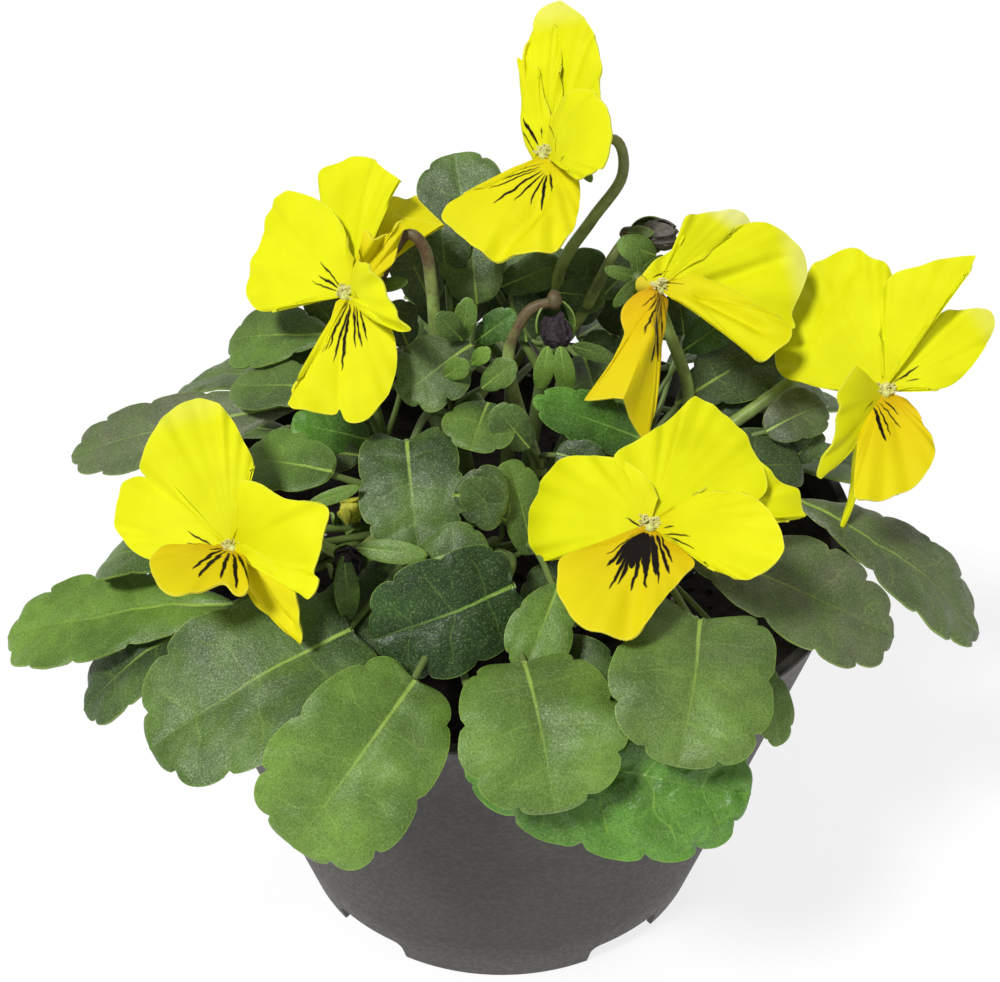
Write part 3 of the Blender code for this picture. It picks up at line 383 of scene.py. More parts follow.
# A leaf runs from root to tip. faces is the way its upper side looks, arch how far its midrib bows up,
# light how bright its green is, partly its own tone and partly painted shade, blush how much purple lies
# over it, and pucker how quilted it is.
Leaf = namedtuple("Leaf", "root tip width faces shape arch light blush pucker",
                  defaults=((0, 0, 1), "back", 1.0, 0.4, 0.2, 1.0))
Shoot = namedtuple("Shoot", "name foot crown leaves")
SHOOTS = [
    Shoot("shoot_front_left", (-9, -9), (-13, -24, 88), [
        Leaf((-39.5, -39, 85), (-75.5, -35, 75), 18.5, (0, -0.25, 1), "long", 2.0, 0.8, 0.0),
        Leaf((-42.5, -41, 84.5), (-62.5, -46, 70.5), 14.5, (-0.3, -0.3, 1), "back", 1.5, 0.2, 0.1),
        Leaf((-46, -36, 92), (-61, -29, 85), 12, (0, -0.2, 1), "small", 1.5, 0.3, 0.1),
        Leaf((-21.5, -48, 87.5), (-49, -60.3, 76), 25, (-0.2, -0.6, 1), "broad", 2.5, 0.38, 0.05),
        Leaf((-25, -28, 101), (-40, -19, 97), 12, (0, -0.5, 1), "small", 1.0, 0.55, 0.0),
        Leaf((-28, -34, 92), (-42, -30, 92), 13, (0, -0.6, 1), "small", 1.0, 0.0, 0.6),
        Leaf((-15, -34, 88), (-24, -49, 84), 14, (0, -0.5, 1), "small", 1.0, 0.2, 0.1),
        Leaf((-20.5, -42, 97.5), (-10.5, -44, 97.5), 3.4, (0, -1, 0.8), "sepal", 0.8, 0.7, 0.1),
        Leaf((-22.5, -42, 96), (-22, -46, 87.5), 3.6, (0.3, -1, 0.3), "sepal", 0.8, 0.6, 0.0),
        Leaf((-28, -35, 100), (-20.5, -34, 102.5), 2.2, (0, -1, 0.5), "sepal", 0.6, 0.9, 0.2),
    ]),
    Shoot("shoot_front", (-1, -12), (-3, -28, 86), [
        Leaf((-12, -57, 86), (-28.3, -72.3, 69.3), 22.5, (0, -1, 0.7), "spade", 3.0, 0.75, 0.0),
        Leaf((3, -57, 89), (7, -75, 79), 22.5, (0.1, -0.9, 1), "broad", 3.0, 0.75, 0.05),
        Leaf((-4, -62, 80), (34, -67, 74), 25, (0, -1, 0.55), "wide", 1.5, 0.7, 0.0, 3.0),
        Leaf((1.5, -45, 93), (-18, -51, 88), 18, (0.1, -1, 0.5), "broad", 1.5, -0.2, 0.0, 1.6),
        Leaf((-12, -43, 95), (-2, -42, 98), 9, (0, -0.8, 1), "young", 1.0, 0.4, 0.1),
        Leaf((8, -46.5, 94.5), (3, -55.5, 86), 10, (0, -1, 0.8), "young", 1.0, 0.6, 0.0),
        Leaf((3, -50, 84), (16, -53, 82), 11, (0, -0.8, 1), "small", 1.0, 0.2, 0.1),
        Leaf((4.5, -33.5, 90), (0.8, -28, 103), 8, (0.6, -1, 0.5), "small", 0.8, 0.5, 0.1),
        Leaf((9, -29, 85), (8, -41, 82), 12, (0, -0.5, 1), "small", 1.0, 0.1, 0.1),
        Leaf((0.5, -34, 96.5), (-5.5, -34, 103.5), 6, (0, -1, 0.6), "small", 0.5, 0.3, 0.1),
    ]),
    Shoot("shoot_front_right", (8, -9), (14, -24, 84), [
        Leaf((27.3, -52, 92.5), (23, -71.5, 84), 23, (0.1, -0.9, 1), "cleft", 2.0, 0.65, 0.2),
        Leaf((26, -37, 93.5), (58, -41, 80.2), 20.5, (0.1, -0.35, 1), "long", 2.0, 0.4, 0.8),
        Leaf((35, -46, 82), (40.5, -54, 71), 8, (0.6, -0.6, 1), "small", 1.0, 0.75, 0.0),
    ]),
    Shoot("shoot_right", (13, -1), (24, -8, 88), [
        Leaf((46, -20, 90.5), (75.5, -28.5, 70.6), 19.5, (0.4, -0.2, 1), "long", 2.5, 0.4, 0.7),
        Leaf((20, 10, 103), (21, 16, 112), 12, (0, -1, 0.6), "small", 0.6, 0.0, 0.3),
        Leaf((30.3, 10, 103), (29.2, 13, 109.5), 7, (0, -1, 0.5), "small", 0.6, 0.1, 0.2),
        Leaf((28, -4, 98), (46, 8, 103), 14, (0.3, -0.6, 1), "back", 1.0, -0.1, 0.3),
        Leaf((42, -9, 96), (52, -4, 98), 9, (0, -0.8, 1), "small", 1.0, 0.2, 0.7),
        Leaf((36, 10, 90), (58, 30, 81), 16, (0.2, -0.2, 1), "back", 2.0, 0.4, 0.3),
        Leaf((30, -15, 92), (48, -11, 91), 14, (0, -0.5, 1), "small", 1.0, -0.3, 0.3),
        Leaf((42, 1, 83), (70, 8, 75), 15, (0, 0, 1), "back", 2.0, 0.4, 0.3),
        Leaf((29.5, 3, 104), (37, 5, 109), 6.5, (0, -1, 0.6), "young", 0.6, 0.3, 0.0, 1.6),
        Leaf((32, -2, 96), (46, 4, 101), 10, (0, -1, 0.7), "small", 0.8, -0.2, 0.2),
        Leaf((47, -8, 90), (51, -7, 95), 6, (0, -1, 0.5), "small", 0.5, 0.2, 0.3),
        Leaf((22, 4, 99), (22.5, 6, 108), 6, (0, -1, 0.5), "small", 0.6, 0.0, 0.2),
    ]),
    Shoot("shoot_left", (-13, 1), (-22, -2, 92), [
        Leaf((-31, -10, 102), (-71.6, -1.5, 86.4), 13, (0, -0.65, 1), "long", 1.5, 0.3, 0.9),
        Leaf((-15, -2, 108), (-17.5, 2, 113.5), 7, (0, -1, 0.5), "small", 0.6, 0.0, 0.3),
        Leaf((-25, 0, 108.5), (-30.5, 3, 114), 7, (0, -1, 0.5), "small", 0.6, 0.2, 0.2),
        Leaf((-28, -4, 102.5), (-34.5, 0, 106), 6.5, (0, -1, 0.5), "small", 0.6, 0.1, 0.2),
        Leaf((-26, -6, 112), (-44, 4, 105), 13, (0, -0.6, 1), "back", 1.0, 0.5, 0.1),
        Leaf((-26, -14, 107), (-43, -5, 102), 10, (0, -0.5, 1), "small", 0.5, 0.35, 0.3),
        Leaf((-30, 2, 97), (-46, 10, 93), 12, (0, -0.3, 1), "back", 2.0, 0.3, 0.3),
        Leaf((-36, 8, 85), (-63, 20, 76), 16, (0, 0, 1), "back", 2.0, 0.4, 0.2),
        Leaf((-20.5, -16, 99), (-32, -18, 103), 8, (0, -0.8, 1), "small", 0.6, 0.6, 0.0, 1.6),
        Leaf((-22, -19, 98), (-37, -20, 99.5), 9, (0, -0.6, 1), "small", 0.6, 0.15, 0.3),
    ]),
    Shoot("shoot_centre_front", (4, -3), (6, -18, 96), [
        Leaf((22.5, -20, 101), (4.5, -24, 111), 9, (0.2, -1, 0.8), "pointed", 1.0, 0.5, 0.0, 2.2),
        Leaf((4, -26, 104), (-1, -26, 111), 6, (0, -1, 0.5), "small", 0.5, 0.15, 0.1),
        Leaf((8, -26, 103), (15, -28, 102), 6.5, (0, -1, 0.7), "small", 0.5, 0.1, 0.1),
        Leaf((6.8, -16, 115.5), (5.7, -17, 108.5), 3.0, (0, -1, 0.2), "sepal", 0.6, 0.9, 0.0),
        Leaf((8.6, -16, 115.5), (9.9, -17, 108), 3.2, (0, -1, 0.2), "sepal", 0.6, 0.8, 0.0),
        Leaf((10.4, -15, 115), (17, -14, 112), 2.6, (0, -1, 0.4), "sepal", -0.6, 0.3, 0.2),
    ]),
    Shoot("shoot_centre_left", (-5, 1), (-8, -8, 104), [
        Leaf((-14, -26, 105), (-12, -39, 94), 16, (0, -1, 0.8), "heart", 1.5, 0.3, 0.05),
        Leaf((-4.6, -14, 114.6), (-15, -21, 109.5), 12, (0, -0.9, 0.9), "oak", 0.8, 0.35, 0.3),
        Leaf((-8, 10, 104), (-9, 16, 115), 15, (0, -1, 0.6), "small", 0.6, 0.0, 0.3),
        Leaf((3, 11, 102), (4, 16, 114), 15, (0, -1, 0.6), "small", 0.6, 0.1, 0.3),
        Leaf((-11, 0, 114), (-15.6, 4, 123), 8, (0, -1, 0.5), "small", 0.6, 0.0, 0.3),
        Leaf((-8.8, 6, 114.5), (-9.7, 10, 123.5), 9, (0, -1, 0.5), "small", 0.6, 0.1, 0.2),
        Leaf((-4, 4, 112), (-5, 10, 121), 11, (0, -1, 0.4), "small", 0.5, 0.4, 0.3),
        Leaf((-2, -20, 108), (-4.5, -30, 106), 11, (0, -0.5, 1), "small", 0.5, 0.45, 0.1),
        Leaf((-7, -34, 101), (1, -33, 100), 10, (0, -1, 0.6), "young", 0.5, 0.25, 0.2),
        Leaf((-6, -14, 115), (-5, -13, 122), 3.6, (0, -1, 0.4), "young", 0.4, 0.8, 0.0),
        Leaf((-6, -15, 116), (-9.5, -17, 121.5), 4.0, (0, -1, 0.6), "young", 0.4, 0.5, 0.1),
        Leaf((-4, -12, 114), (2, -13, 119.5), 5.0, (0, -1, 0.6), "young", 0.5, 0.5, 0.1, 1.6),
        Leaf((-8.5, -19, 112), (-5, -20.5, 115.5), 3.6, (0.3, -1, 0.6), "young", 0.3, 0.7, 0.0),
        Leaf((-4.5, -18, 113.5), (-1.8, -19.5, 117), 2.6, (0, -1, 0.6), "young", 0.3, 1.0, 0.0),
        Leaf((-3, -19, 110), (2, -20, 115), 4.5, (0, -1, 0.7), "young", 0.4, 0.5, 0.1),
    ]),
    Shoot("shoot_centre_right", (4, 6), (8, 6, 106), [
        Leaf((16, 6, 112), (23, 14, 115), 8, (0, -0.8, 1), "young", 0.5, 0.4, 0.2),
        Leaf((10, 14, 112), (-6, 20, 112), 10, (0, -0.6, 1), "small", 0.8, 0.3, 0.2),
        Leaf((13, -2, 106), (15, -14, 102), 12, (0, -0.5, 1), "small", 0.8, 0.3, 0.1),
        Leaf((-5.2, 14, 118.5), (-7.8, 22, 130.2), 14.5, (0, -1, 0.4), "small", 0.8, 0.35, 0.2),
        Leaf((12.5, 8, 106), (14.5, 13, 117.5), 9, (0, -1, 0.5), "small", 0.6, 0.1, 0.2),
        Leaf((9.6, 10, 108), (7.3, 15, 116.5), 9, (0, -1, 0.5), "small", 0.6, 0.2, 0.2),
        Leaf((16.3, 6, 97.5), (15.8, 8, 105.2), 6, (0, -1, 0.5), "small", 0.6, 0.0, 0.2),
        Leaf((4, 6, 104), (3, 9, 112), 7, (0, -1, 0.5), "small", 0.6, 0.0, 0.2),
        Leaf((24, 2, 121.5), (17.8, 1.5, 124), 4.5, (0, -1, 0.5), "sepal", 0.8, 0.6, 0.0),
        Leaf((0, 8, 113), (9.5, 9.5, 116.5), 6.5, (0, -1, 0.7), "small", 0.5, 0.2, 0.1),
        Leaf((9, 4, 114), (16.5, 4, 113), 6, (0, -1, 0.7), "small", 0.5, 0.2, 0.1),
    ]),
    Shoot("shoot_back_left", (-8, 10), (-16, 22, 90), [
        Leaf((-18, 15, 100), (-36, 27, 94), 15),
        Leaf((-13, 26, 92), (-28, 43, 88), 15, light=0.5),
        Leaf((-33, 22, 86), (-60, 36, 77), 17, arch=3.0, blush=0.4),
        Leaf((-26, 32, 88), (-46, 56, 77), 19, (0, 0.3, 1), arch=3.0, light=0.6),
    ]),
    Shoot("shoot_back", (1, 14), (2, 26, 90), [
        Leaf((-6, 25, 98), (-13, 42, 95), 15, (0, 0.2, 1)),
        Leaf((8, 26, 98), (12, 44, 95), 14, (0, 0.2, 1), light=0.6),
        Leaf((-14, 40, 84), (-23, 70, 76), 19, (0, 0.3, 1), arch=3.0, light=0.8),
        Leaf((9, 42, 81), (12, 76, 72), 19, (0, 0.3, 1), arch=3.0, light=0.6),
        Leaf((-2, 46, 78), (-6, 72, 71), 16, (0, 0.3, 1), arch=2.0),
    ]),
    Shoot("shoot_back_right", (9, 10), (17, 20, 90), [
        Leaf((20, 17, 99), (36, 28, 95), 15, light=0.5),
        Leaf((14, 31, 91), (24, 47, 87), 15),
        Leaf((35, 22, 80), (64, 38, 74), 16, arch=2.0, light=0.5),
        Leaf((21, 36, 86), (33, 65, 77), 18, (0, 0.3, 1), arch=3.0, light=0.7),
        Leaf((30, 28, 87), (53, 50, 77), 17, (0, 0.2, 1), arch=3.0, blush=0.4),
    ]),
]
# The flowers that the shoots carry. place is the middle of the face or head, faces the way it looks, half
# the half length of a closed head, brown how far its stalk has browned, and sepals their turns round it.
Flower = namedtuple("Flower", "name shoot kind place faces half brown stalk sepals",
                    defaults=((0, 65, 130, 230, 295),))
FLOWERS = [
    Flower("bloom_top", "shoot_centre_right", "bloom", (7, 5, 137), (-0.7, -0.65, 0.3), 0, 0.55,
           [(8, 6, 106), (9.5, 8, 116.5), (14.2, 8, 124.8), (18.6, 8, 132), (17.4, 8.5, 137.8)]),
    Flower("bloom_upper_left", "shoot_centre_left", "bloom", (-22.5, -12, 122), (-0.55, -0.75, 0.35), 0, 1.0,
           [(-8, -8, 104), (-10, -9, 113), (-10.5, -9, 121), (-11.5, -8, 127.5), (-14.5, -7, 129)]),
    Flower("bloom_lower_left", "shoot_front_left", "bloom", (-38, -43, 98), (0.2, -0.6, 0.77), 0, 0.1,
           [(-13, -24, 86), (-22, -32, 88), (-33, -31, 95), (-38, -33, 97)]),
    Flower("bloom_right", "shoot_right", "bloom", (23.5, -6, 120), (0.4, -0.85, 0.3), 0, 0.1,
           [(24, -8, 86), (30, -4, 98), (26.5, 1, 109), (22, 4, 118), (21, 3, 121)]),
    Flower("bloom_front", "shoot_front_right", "bloom", (20.6, -43, 102), (-0.1, -0.8, 0.6), 0, 0.1,
           [(14, -24, 82), (18, -27, 93), (20.5, -31, 101), (21, -34, 102)]),
    Flower("bloom_far_right", "shoot_right", "bloom", (58, -15, 107), (0.1, -0.85, 0.5), 0, 0.3,
           [(24, -8, 86), (38, -4, 95), (50, -1, 103), (56, -3, 107), (57, -6, 107)]),
    Flower("bloom_back", "shoot_back", "bloom", (-3, 60, 88), (0, 0.6, 0.8), 0, 0.1,
           [(2, 26, 88), (-2, 40, 87), (-3, 50, 86)]),
    Flower("withered_head_centre", "shoot_centre_front", "withered", (8, -14, 117), (0.05, -0.35, -0.9),
           2.6, 1.0, [(6, -18, 94), (1, -15, 111), (3.4, -13, 119)], (105, 180, 255)),
    Flower("withered_head_left", "shoot_front_left", "withered", (-22, -41, 94), (0.3, -0.6, 0.8), 2.2, 0.4,
           [(-13, -24, 86), (-17, -31, 92), (-20, -36, 93)], (0, 90, 180, 270)),
    Flower("faded_bud", "shoot_centre_right", "withered", (24.6, 4, 124), (0.7, -0.3, 0.1), 3.2, 0.4,
           [(8, 6, 104), (12, 3.5, 109), (17, 3, 120)], (60, 180, 300)),
    Flower("yellow_bud", "shoot_front_left", "bud", (-22.5, -28, 94), (0.2, -0.6, 0.7), 4.0, 0.1,
           [(-13, -24, 86), (-19, -23, 90)], (0, 90, 180, 270)),
]


def outline(shape, place):
    """A point on the edge of a blade one unit long and two wide: where its vein leaves the midrib, how far
    along it ends, how far out, and how deeply the edge is cut there."""
    turn = math.pi * place
    along = (0.5 * (1 - math.cos(turn))) ** shape.belly
    out = math.sin(turn) ** shape.fullness * (1 - shape.taper * (1 - along) ** 3)
    start = along * (1 - 0.25 * math.sin(turn))
    if turn < math.pi / 2:
        along -= shape.heart * math.sin(2 * turn)
    cut = 0.0
    if shape.lobes:
        phase = place * (shape.lobes + 0.5) % 1.0
        crown = math.sqrt(max(0.0, 1 - (2 * phase - 1) ** 2))
        cut = shape.notch * min(1.0, max(0.0, (place - 0.08) / 0.2)) * (1 - crown)
    return start, along, out, cut


def sheet_mesh(rows, columns, spot, upper, thick, top, under, tone):
    """A thin closed sheet. spot(across, place) gives a point of its upper side and the three numbers that
    its material reads; across runs from -1 to 1 and place from 0 at the root to 1 at the tip."""
    made = bmesh.new()
    marks = made.verts.layers.float_vector.new("blade")
    tones = made.verts.layers.float_vector.new("tone")
    drop = made.verts.layers.float_vector.new("drop")
    bmesh.ops.create_grid(made, x_segments=columns, y_segments=rows, size=1.0)
    for vert in made.verts:
        vert.co, vert[marks] = spot(vert.co.x, (vert.co.y + 1) / 2)
        vert[tones] = tone
    rim = [vert for vert in made.verts if vert.is_boundary]
    bmesh.ops.remove_doubles(made, verts=rim, dist=0.02)
    bmesh.ops.recalc_face_normals(made, faces=made.faces)
    facing = sum((face.normal * face.calc_area() for face in made.faces), Vector())
    if facing.dot(upper) < 0:
        bmesh.ops.reverse_faces(made, faces=made.faces)
    made.normal_update()
    for vert in made.verts:
        vert[drop] = -vert.normal * thick
    for face in made.faces:
        face.material_index = top
    whole = made.verts[:] + made.edges[:] + made.faces[:]
    copied = bmesh.ops.extrude_face_region(made, geom=whole, use_keep_orig=True)
    for part in copied["geom"]:
        if isinstance(part, bmesh.types.BMVert):
            part.co += part[drop]
        elif isinstance(part, bmesh.types.BMFace):
            part.material_index = under
    bmesh.ops.recalc_face_normals(made, faces=made.faces)
    return mesh_from(made, "sheet")


def sheet_axes(root, tip, faces):
    """The run, side and upper directions of a blade."""
    run = Vector(tip) - Vector(root)
    side = run.cross(Vector(faces)).normalized()
    return run, side, side.cross(run).normalized()


def leaf_mesh(leaf, seed, thick=LEAF_THICK, rows_per_lobe=12, columns=22):
    """A leaf with its lobed edge, sunken veins and puckered skin."""
    shape = SHAPES[leaf.shape]
    root = Vector(leaf.root)
    run, side, upper = sheet_axes(leaf.root, leaf.tip, leaf.faces)
    length = run.length
    half = leaf.width / 2
    lobes = shape.lobes + 0.5
    drift = Vector((seed * 7.3, seed * 3.1, seed * 5.7))
    size = min(1.0, leaf.width / FULL_WIDTH)
    fine = max(1.0, 15 / leaf.width) ** 0.8
    fold = 0.10 if shape.lobes else 0.0

    def spot(across, place):
        start, end, out, cut = outline(shape, place)
        far = abs(across)
        end += (0.5 - end) * cut * 0.8 * far ** 3
        along = start + (end - start) * far ** 1.15
        uneven = 1 + 0.07 * noise.noise(Vector((place * 2.5, seed, across)))
        shift = across * half * out * (1 - cut * far ** 3) * uneven
        bow = leaf.arch * 4 * along * (1 - along)
        rise = fold * (math.sqrt(shift * shift + 0.4) - 0.63)
        lane = place * lobes % 1.0
        gap = abs(lane - 0.5) * length / lobes
        body = min(1.0, far * 3) * (1 - far ** 4)
        groove = -VEIN_DEPTH * size * leaf.pucker * math.exp(-(gap / VEIN_WIDTH) ** 2) * body
        groove -= MIDRIB_DEPTH * size * math.exp(-(shift / MIDRIB_WIDTH) ** 2) * (1 - min(1.0, along)) ** 0.4
        pucker = SWELL * size * leaf.pucker * math.sin(math.pi * (lane - 0.5)) ** 2 * body
        flat = Vector((shift, along * length, 0)) + drift
        wave = 1.1 * size * noise.noise(flat * 0.08) + 0.3 * size * noise.noise(flat * 0.3)
        wave += 0.10 * size * leaf.pucker * noise.noise(flat * 0.8)
        hem = (0.35 * size * noise.noise(flat * 0.35 + drift) - 0.07 * half) * far ** 4
        lift = bow + rise + groove + pucker + wave * min(1.0, along * 6 + 0.1) + hem
        point = root + run * along + side * shift + upper * (lift + thick / 2)
        return point, (shift * fine, place, (1 - far) * half * out * fine)

    rows = int((shape.lobes or 1) * rows_per_lobe + rows_per_lobe / 2)
    top = 4 if leaf.pucker > QUILTED_FROM else 3 if leaf.pucker > GLOSSY_FROM else 0
    return sheet_mesh(rows, columns, spot, upper, thick, top, 1, (leaf.light, leaf.blush, lobes))


def smooth_path(points, count):
    """Points along a soft curve through the given ones."""
    knots = [Vector(point) for point in points]
    knots = [2 * knots[0] - knots[1]] + knots + [2 * knots[-1] - knots[-2]]
    path = []
    for order in range(count + 1):
        share = order / count * (len(knots) - 3)
        index = min(int(share), len(knots) - 4)
        part = share - index
        before, start, end, after = knots[index:index + 4]
        path.append(0.5 * ((2 * start) + (end - before) * part
                           + (2 * before - 5 * start + 4 * end - after) * part ** 2
                           + (3 * start - before - 3 * end + after) * part ** 3))
    return path


def tube_mesh(points, radii, slot, tone=(0.5, 0.0), sides=12, count=24, ridge=0.0):
    """A tapering round stem along a soft curve, its ends closed. Its material reads how far along it is."""
    path = smooth_path(points, count)
    made = bmesh.new()
    marks = made.verts.layers.float_vector.new("blade")
    tones = made.verts.layers.float_vector.new("tone")
    bmesh.ops.create_grid(made, x_segments=sides, y_segments=count, size=1.0)
    normal = (path[1] - path[0]).orthogonal().normalized()
    frames = []
    for index, point in enumerate(path):
        ahead = (path[min(index + 1, count)] - path[max(index - 1, 0)]).normalized()
        normal = (normal - ahead * normal.dot(ahead)).normalized()
        frames.append((point, normal.copy(), ahead.cross(normal)))
    for vert in made.verts:
        turn = (vert.co.x + 1) * math.pi
        share = (vert.co.y + 1) / 2
        point, first, second = frames[round(share * count)]
        place = share * (len(radii) - 1)
        lower = min(int(place), len(radii) - 2)
        radius = radii[lower] + (radii[lower + 1] - radii[lower]) * (place - lower)
        radius *= 1 + ridge * math.cos(4 * turn)
        vert.co = point + (first * math.cos(turn) + second * math.sin(turn)) * radius
        vert[marks] = (share, turn, 0)
        vert[tones] = (*tone, 0)
    bmesh.ops.remove_doubles(made, verts=made.verts, dist=0.0005)
    bmesh.ops.holes_fill(made, edges=[edge for edge in made.edges if edge.is_boundary], sides=sides)
    bmesh.ops.recalc_face_normals(made, faces=made.faces)
    for face in made.faces:
        face.material_index = slot
    return mesh_from(made, "tube")


def knob_mesh(centre, radii, axis, slot, rough=0.0, detail=3, seed=0.0, tone=(0.5, 0.0)):
    """A small egg with its length along an axis, crumpled by a given share of its size."""
    made = bmesh.new()
    marks = made.verts.layers.float_vector.new("blade")
    tones = made.verts.layers.float_vector.new("tone")
    bmesh.ops.create_icosphere(made, subdivisions=detail, radius=1.0)
    turn = UP.rotation_difference(Vector(axis)).to_matrix().to_4x4()
    for vert in made.verts:
        vert[marks] = (1, 0, 0)
        where = vert.co * 1.6 + Vector((seed, seed * 2, 0))
        vert.co *= 1 + rough * noise.noise(where) + 0.6 * rough * noise.noise(where * 2.7)
        vert[tones] = (*tone, 0)
    place = Matrix.Translation(Vector(centre)) @ turn @ Matrix.Diagonal((radii[0], radii[0], radii[1], 1.0))
    bmesh.ops.transform(made, matrix=place, verts=made.verts)
    for face in made.faces:
        face.material_index = slot
    return mesh_from(made, "knob")


def gather(meshes):
    """Brings many small meshes into one, and ends them."""
    made = bmesh.new()
    made.verts.layers.float_vector.new("blade")
    made.verts.layers.float_vector.new("tone")
    for mesh in meshes:
        made.from_mesh(mesh)
        bpy.data.meshes.remove(mesh)
    return mesh_from(made, "whole")


def flower_axes(flower):
    """The way a flower looks, and its own upward direction."""
    faces = Vector(flower.faces).normalized()
    return faces, (UP - faces * UP.dot(faces)).normalized()


def cup_centre(flower):
    """The middle of the green cup that carries a flower, just behind its petals."""
    faces, lift = flower_axes(flower)
    if flower.kind == "bloom":
        return Vector(flower.place) - faces * (NECK_LENGTH + 0.3 + CUP_RADIUS) + lift * CUP_LIFT
    return Vector(flower.place) - faces * (flower.half + 0.3 + CUP_RADIUS)


def read(material, attribute):
    """The stored numbers of a mesh attribute, together and one by one."""
    stored = add_node(material, "Attribute", {}, "Vector", attribute_name=attribute)
    return stored, *add_node(material, "SeparateXYZ", {0: stored}, slice(3))


def leaf_material(name, deep, fresh, blushed, vein, net, quilt, dull, shiny):
    """A living leaf: a waxy skin over green flesh, its colour mottled with painted shade, and its gloss
    broken up. net is how plainly its veins show, and its skin stands up between the small ones by quilt
    millimetres."""
    made, where = blank(name)
    _, shift, place, hem = read(made, "blade")
    _, light, blush, lobes = read(made, "tone")

    # Green flesh: the leaf's own brightness, partly painted shade, with broad blotches of painted light and
    # shade, lighter towards the tip, and a purple flush over it.
    spots = add_node(made, "TexNoise", {"Vector": where, "Scale": 1 / (10 * MM)})
    spots = add_node(made, "MapRange", {0: spots, 1: 0.25, 2: 0.75, 3: -0.3, 4: 0.24}, **SMOOTH)
    drift = add_node(made, "Math", {0: place, 1: 0.36, 2: -0.18}, operation="MULTIPLY_ADD")
    painted_shade_mottle = add_node(made, "Math", {0: spots, 1: drift}, operation="ADD")
    share = add_node(made, "Math", {0: light, 1: painted_shade_mottle}, operation="ADD", use_clamp=True)
    colour = add_node(made, "Mix", {0: share, 6: deep, 7: fresh}, 2, **COLOURS)
    flush = add_node(made, "TexNoise", {"Vector": where, "Scale": 1 / (6 * MM), "Detail": 3.0,
                                        "Roughness": 0.6})
    flush = add_node(made, "MapRange", {0: flush, 1: 0.3, 2: 0.7, 3: 0.5}, **SMOOTH)
    share = add_node(made, "Math", {0: blush, 1: flush}, operation="MULTIPLY")
    colour = add_node(made, "Mix", {0: share, 6: colour, 7: blushed}, 2, **COLOURS)

    # The net of small veins, bent so that its meshes waver.
    waver = add_node(made, "TexNoise", {"Vector": where, "Scale": 1 / (3 * MM)}, "Color")
    bent = add_node(made, "VectorMath", {0: waver, 1: (2.2 * MM,) * 3, 2: where}, operation="MULTIPLY_ADD")
    cells = add_node(made, "TexVoronoi", {"Vector": bent, "Scale": 1 / (3.2 * MM)}, "Distance",
                     feature="DISTANCE_TO_EDGE")
    share = add_node(made, "MapRange", {0: cells, 2: 0.12, 3: net * 0.5, 4: 0.0}, **SMOOTH)
    colour = add_node(made, "Mix", {0: share, 6: colour, 7: vein}, 2, **COLOURS)

    # Side veins, one to a lobe, which sway and fade towards the hem.
    sway = add_node(made, "TexNoise", {"Vector": where, "Scale": 1 / (5 * MM), "Detail": 1.0})
    sway = add_node(made, "Math", {0: sway, 1: 0.5, 2: -0.25}, operation="MULTIPLY_ADD")
    lane = add_node(made, "Math", {0: place, 1: lobes, 2: sway}, operation="MULTIPLY_ADD")
    lane = add_node(made, "Math", {0: lane}, operation="FRACT")
    near = add_node(made, "Math", {0: lane, 1: 0.5}, operation="SUBTRACT")
    near = add_node(made, "Math", {0: near}, operation="ABSOLUTE")
    near = add_node(made, "MapRange", {0: near, 2: 0.035, 3: 1.0, 4: 0.0}, **SMOOTH)
    inner = add_node(made, "MapRange", {0: hem, 1: 0.8, 2: 4.0, 4: 0.08 + 1.6 * net}, **SMOOTH)
    share = add_node(made, "Math", {0: near, 1: inner}, operation="MULTIPLY")
    colour = add_node(made, "Mix", {0: share, 6: colour, 7: vein}, 2, **COLOURS)

    # The midrib, which narrows and fades towards the tip.
    width = add_node(made, "Math", {0: shift}, operation="ABSOLUTE")
    edge = add_node(made, "Math", {0: place, 1: -0.26, 2: 0.36}, operation="MULTIPLY_ADD")
    ratio = add_node(made, "Math", {0: width, 1: edge}, operation="DIVIDE")
    midrib = add_node(made, "MapRange", {0: ratio, 1: 0.5, 2: 1.2, 3: 1.0, 4: 0.0}, **SMOOTH)
    fade = add_node(made, "MapRange", {0: place, 1: 0.15, 2: 0.95, 3: 0.85, 4: 0.1}, **SMOOTH)
    share = add_node(made, "Math", {0: midrib, 1: fade}, operation="MULTIPLY")
    colour = add_node(made, "Mix", {0: share, 6: colour, 7: vein}, 2, **COLOURS)

    # The pale hem, the light and dark flecks of the waxy skin, the light ones partly painted glints, and
    # faint spots of painted shade.
    fleck = add_node(made, "TexNoise", {"Vector": where, "Scale": 1 / (0.27 * MM), "Roughness": 0.6})
    painted_shade_cloud = add_node(made, "TexNoise", {"Vector": where, "Scale": 1 / (2.6 * MM), "Detail": 3.0,
                                        "Roughness": 0.6})
    for pattern, low, high, start, end, tint in (
            (hem, 0.0, 0.2, 0.45, 0.0, vein), (fleck, 0.5, 0.7, 0.0, 0.24, "#a4bb7c"),
            (fleck, 0.3, 0.5, 0.34, 0.0, "#1b2d11"), (painted_shade_cloud, 0.35, 0.6, 0.14, 0.0, "#1e3317")):
        share = add_node(made, "MapRange", {0: pattern, 1: low, 2: high, 3: start, 4: end}, **SMOOTH)
        colour = add_node(made, "Mix", {0: share, 6: colour, 7: tint}, 2, **COLOURS)

    rough = add_node(made, "MapRange", {0: fleck, 1: 0.3, 2: 0.7, 3: dull, 4: shiny}, **SMOOTH)
    swell = add_node(made, "MapRange", {0: cells, 2: 0.5}, **SMOOTH)
    swell = add_node(made, "Math", {0: swell, 1: quilt}, operation="MULTIPLY")
    height = add_node(made, "Math", {0: fleck, 1: 0.08, 2: swell}, operation="MULTIPLY_ADD")
    relief = add_node(made, "Bump", {"Height": height, "Distance": MM})
    dress(made, IOR=1.42, Base_Color=colour, Roughness=rough, Normal=relief)
    return made


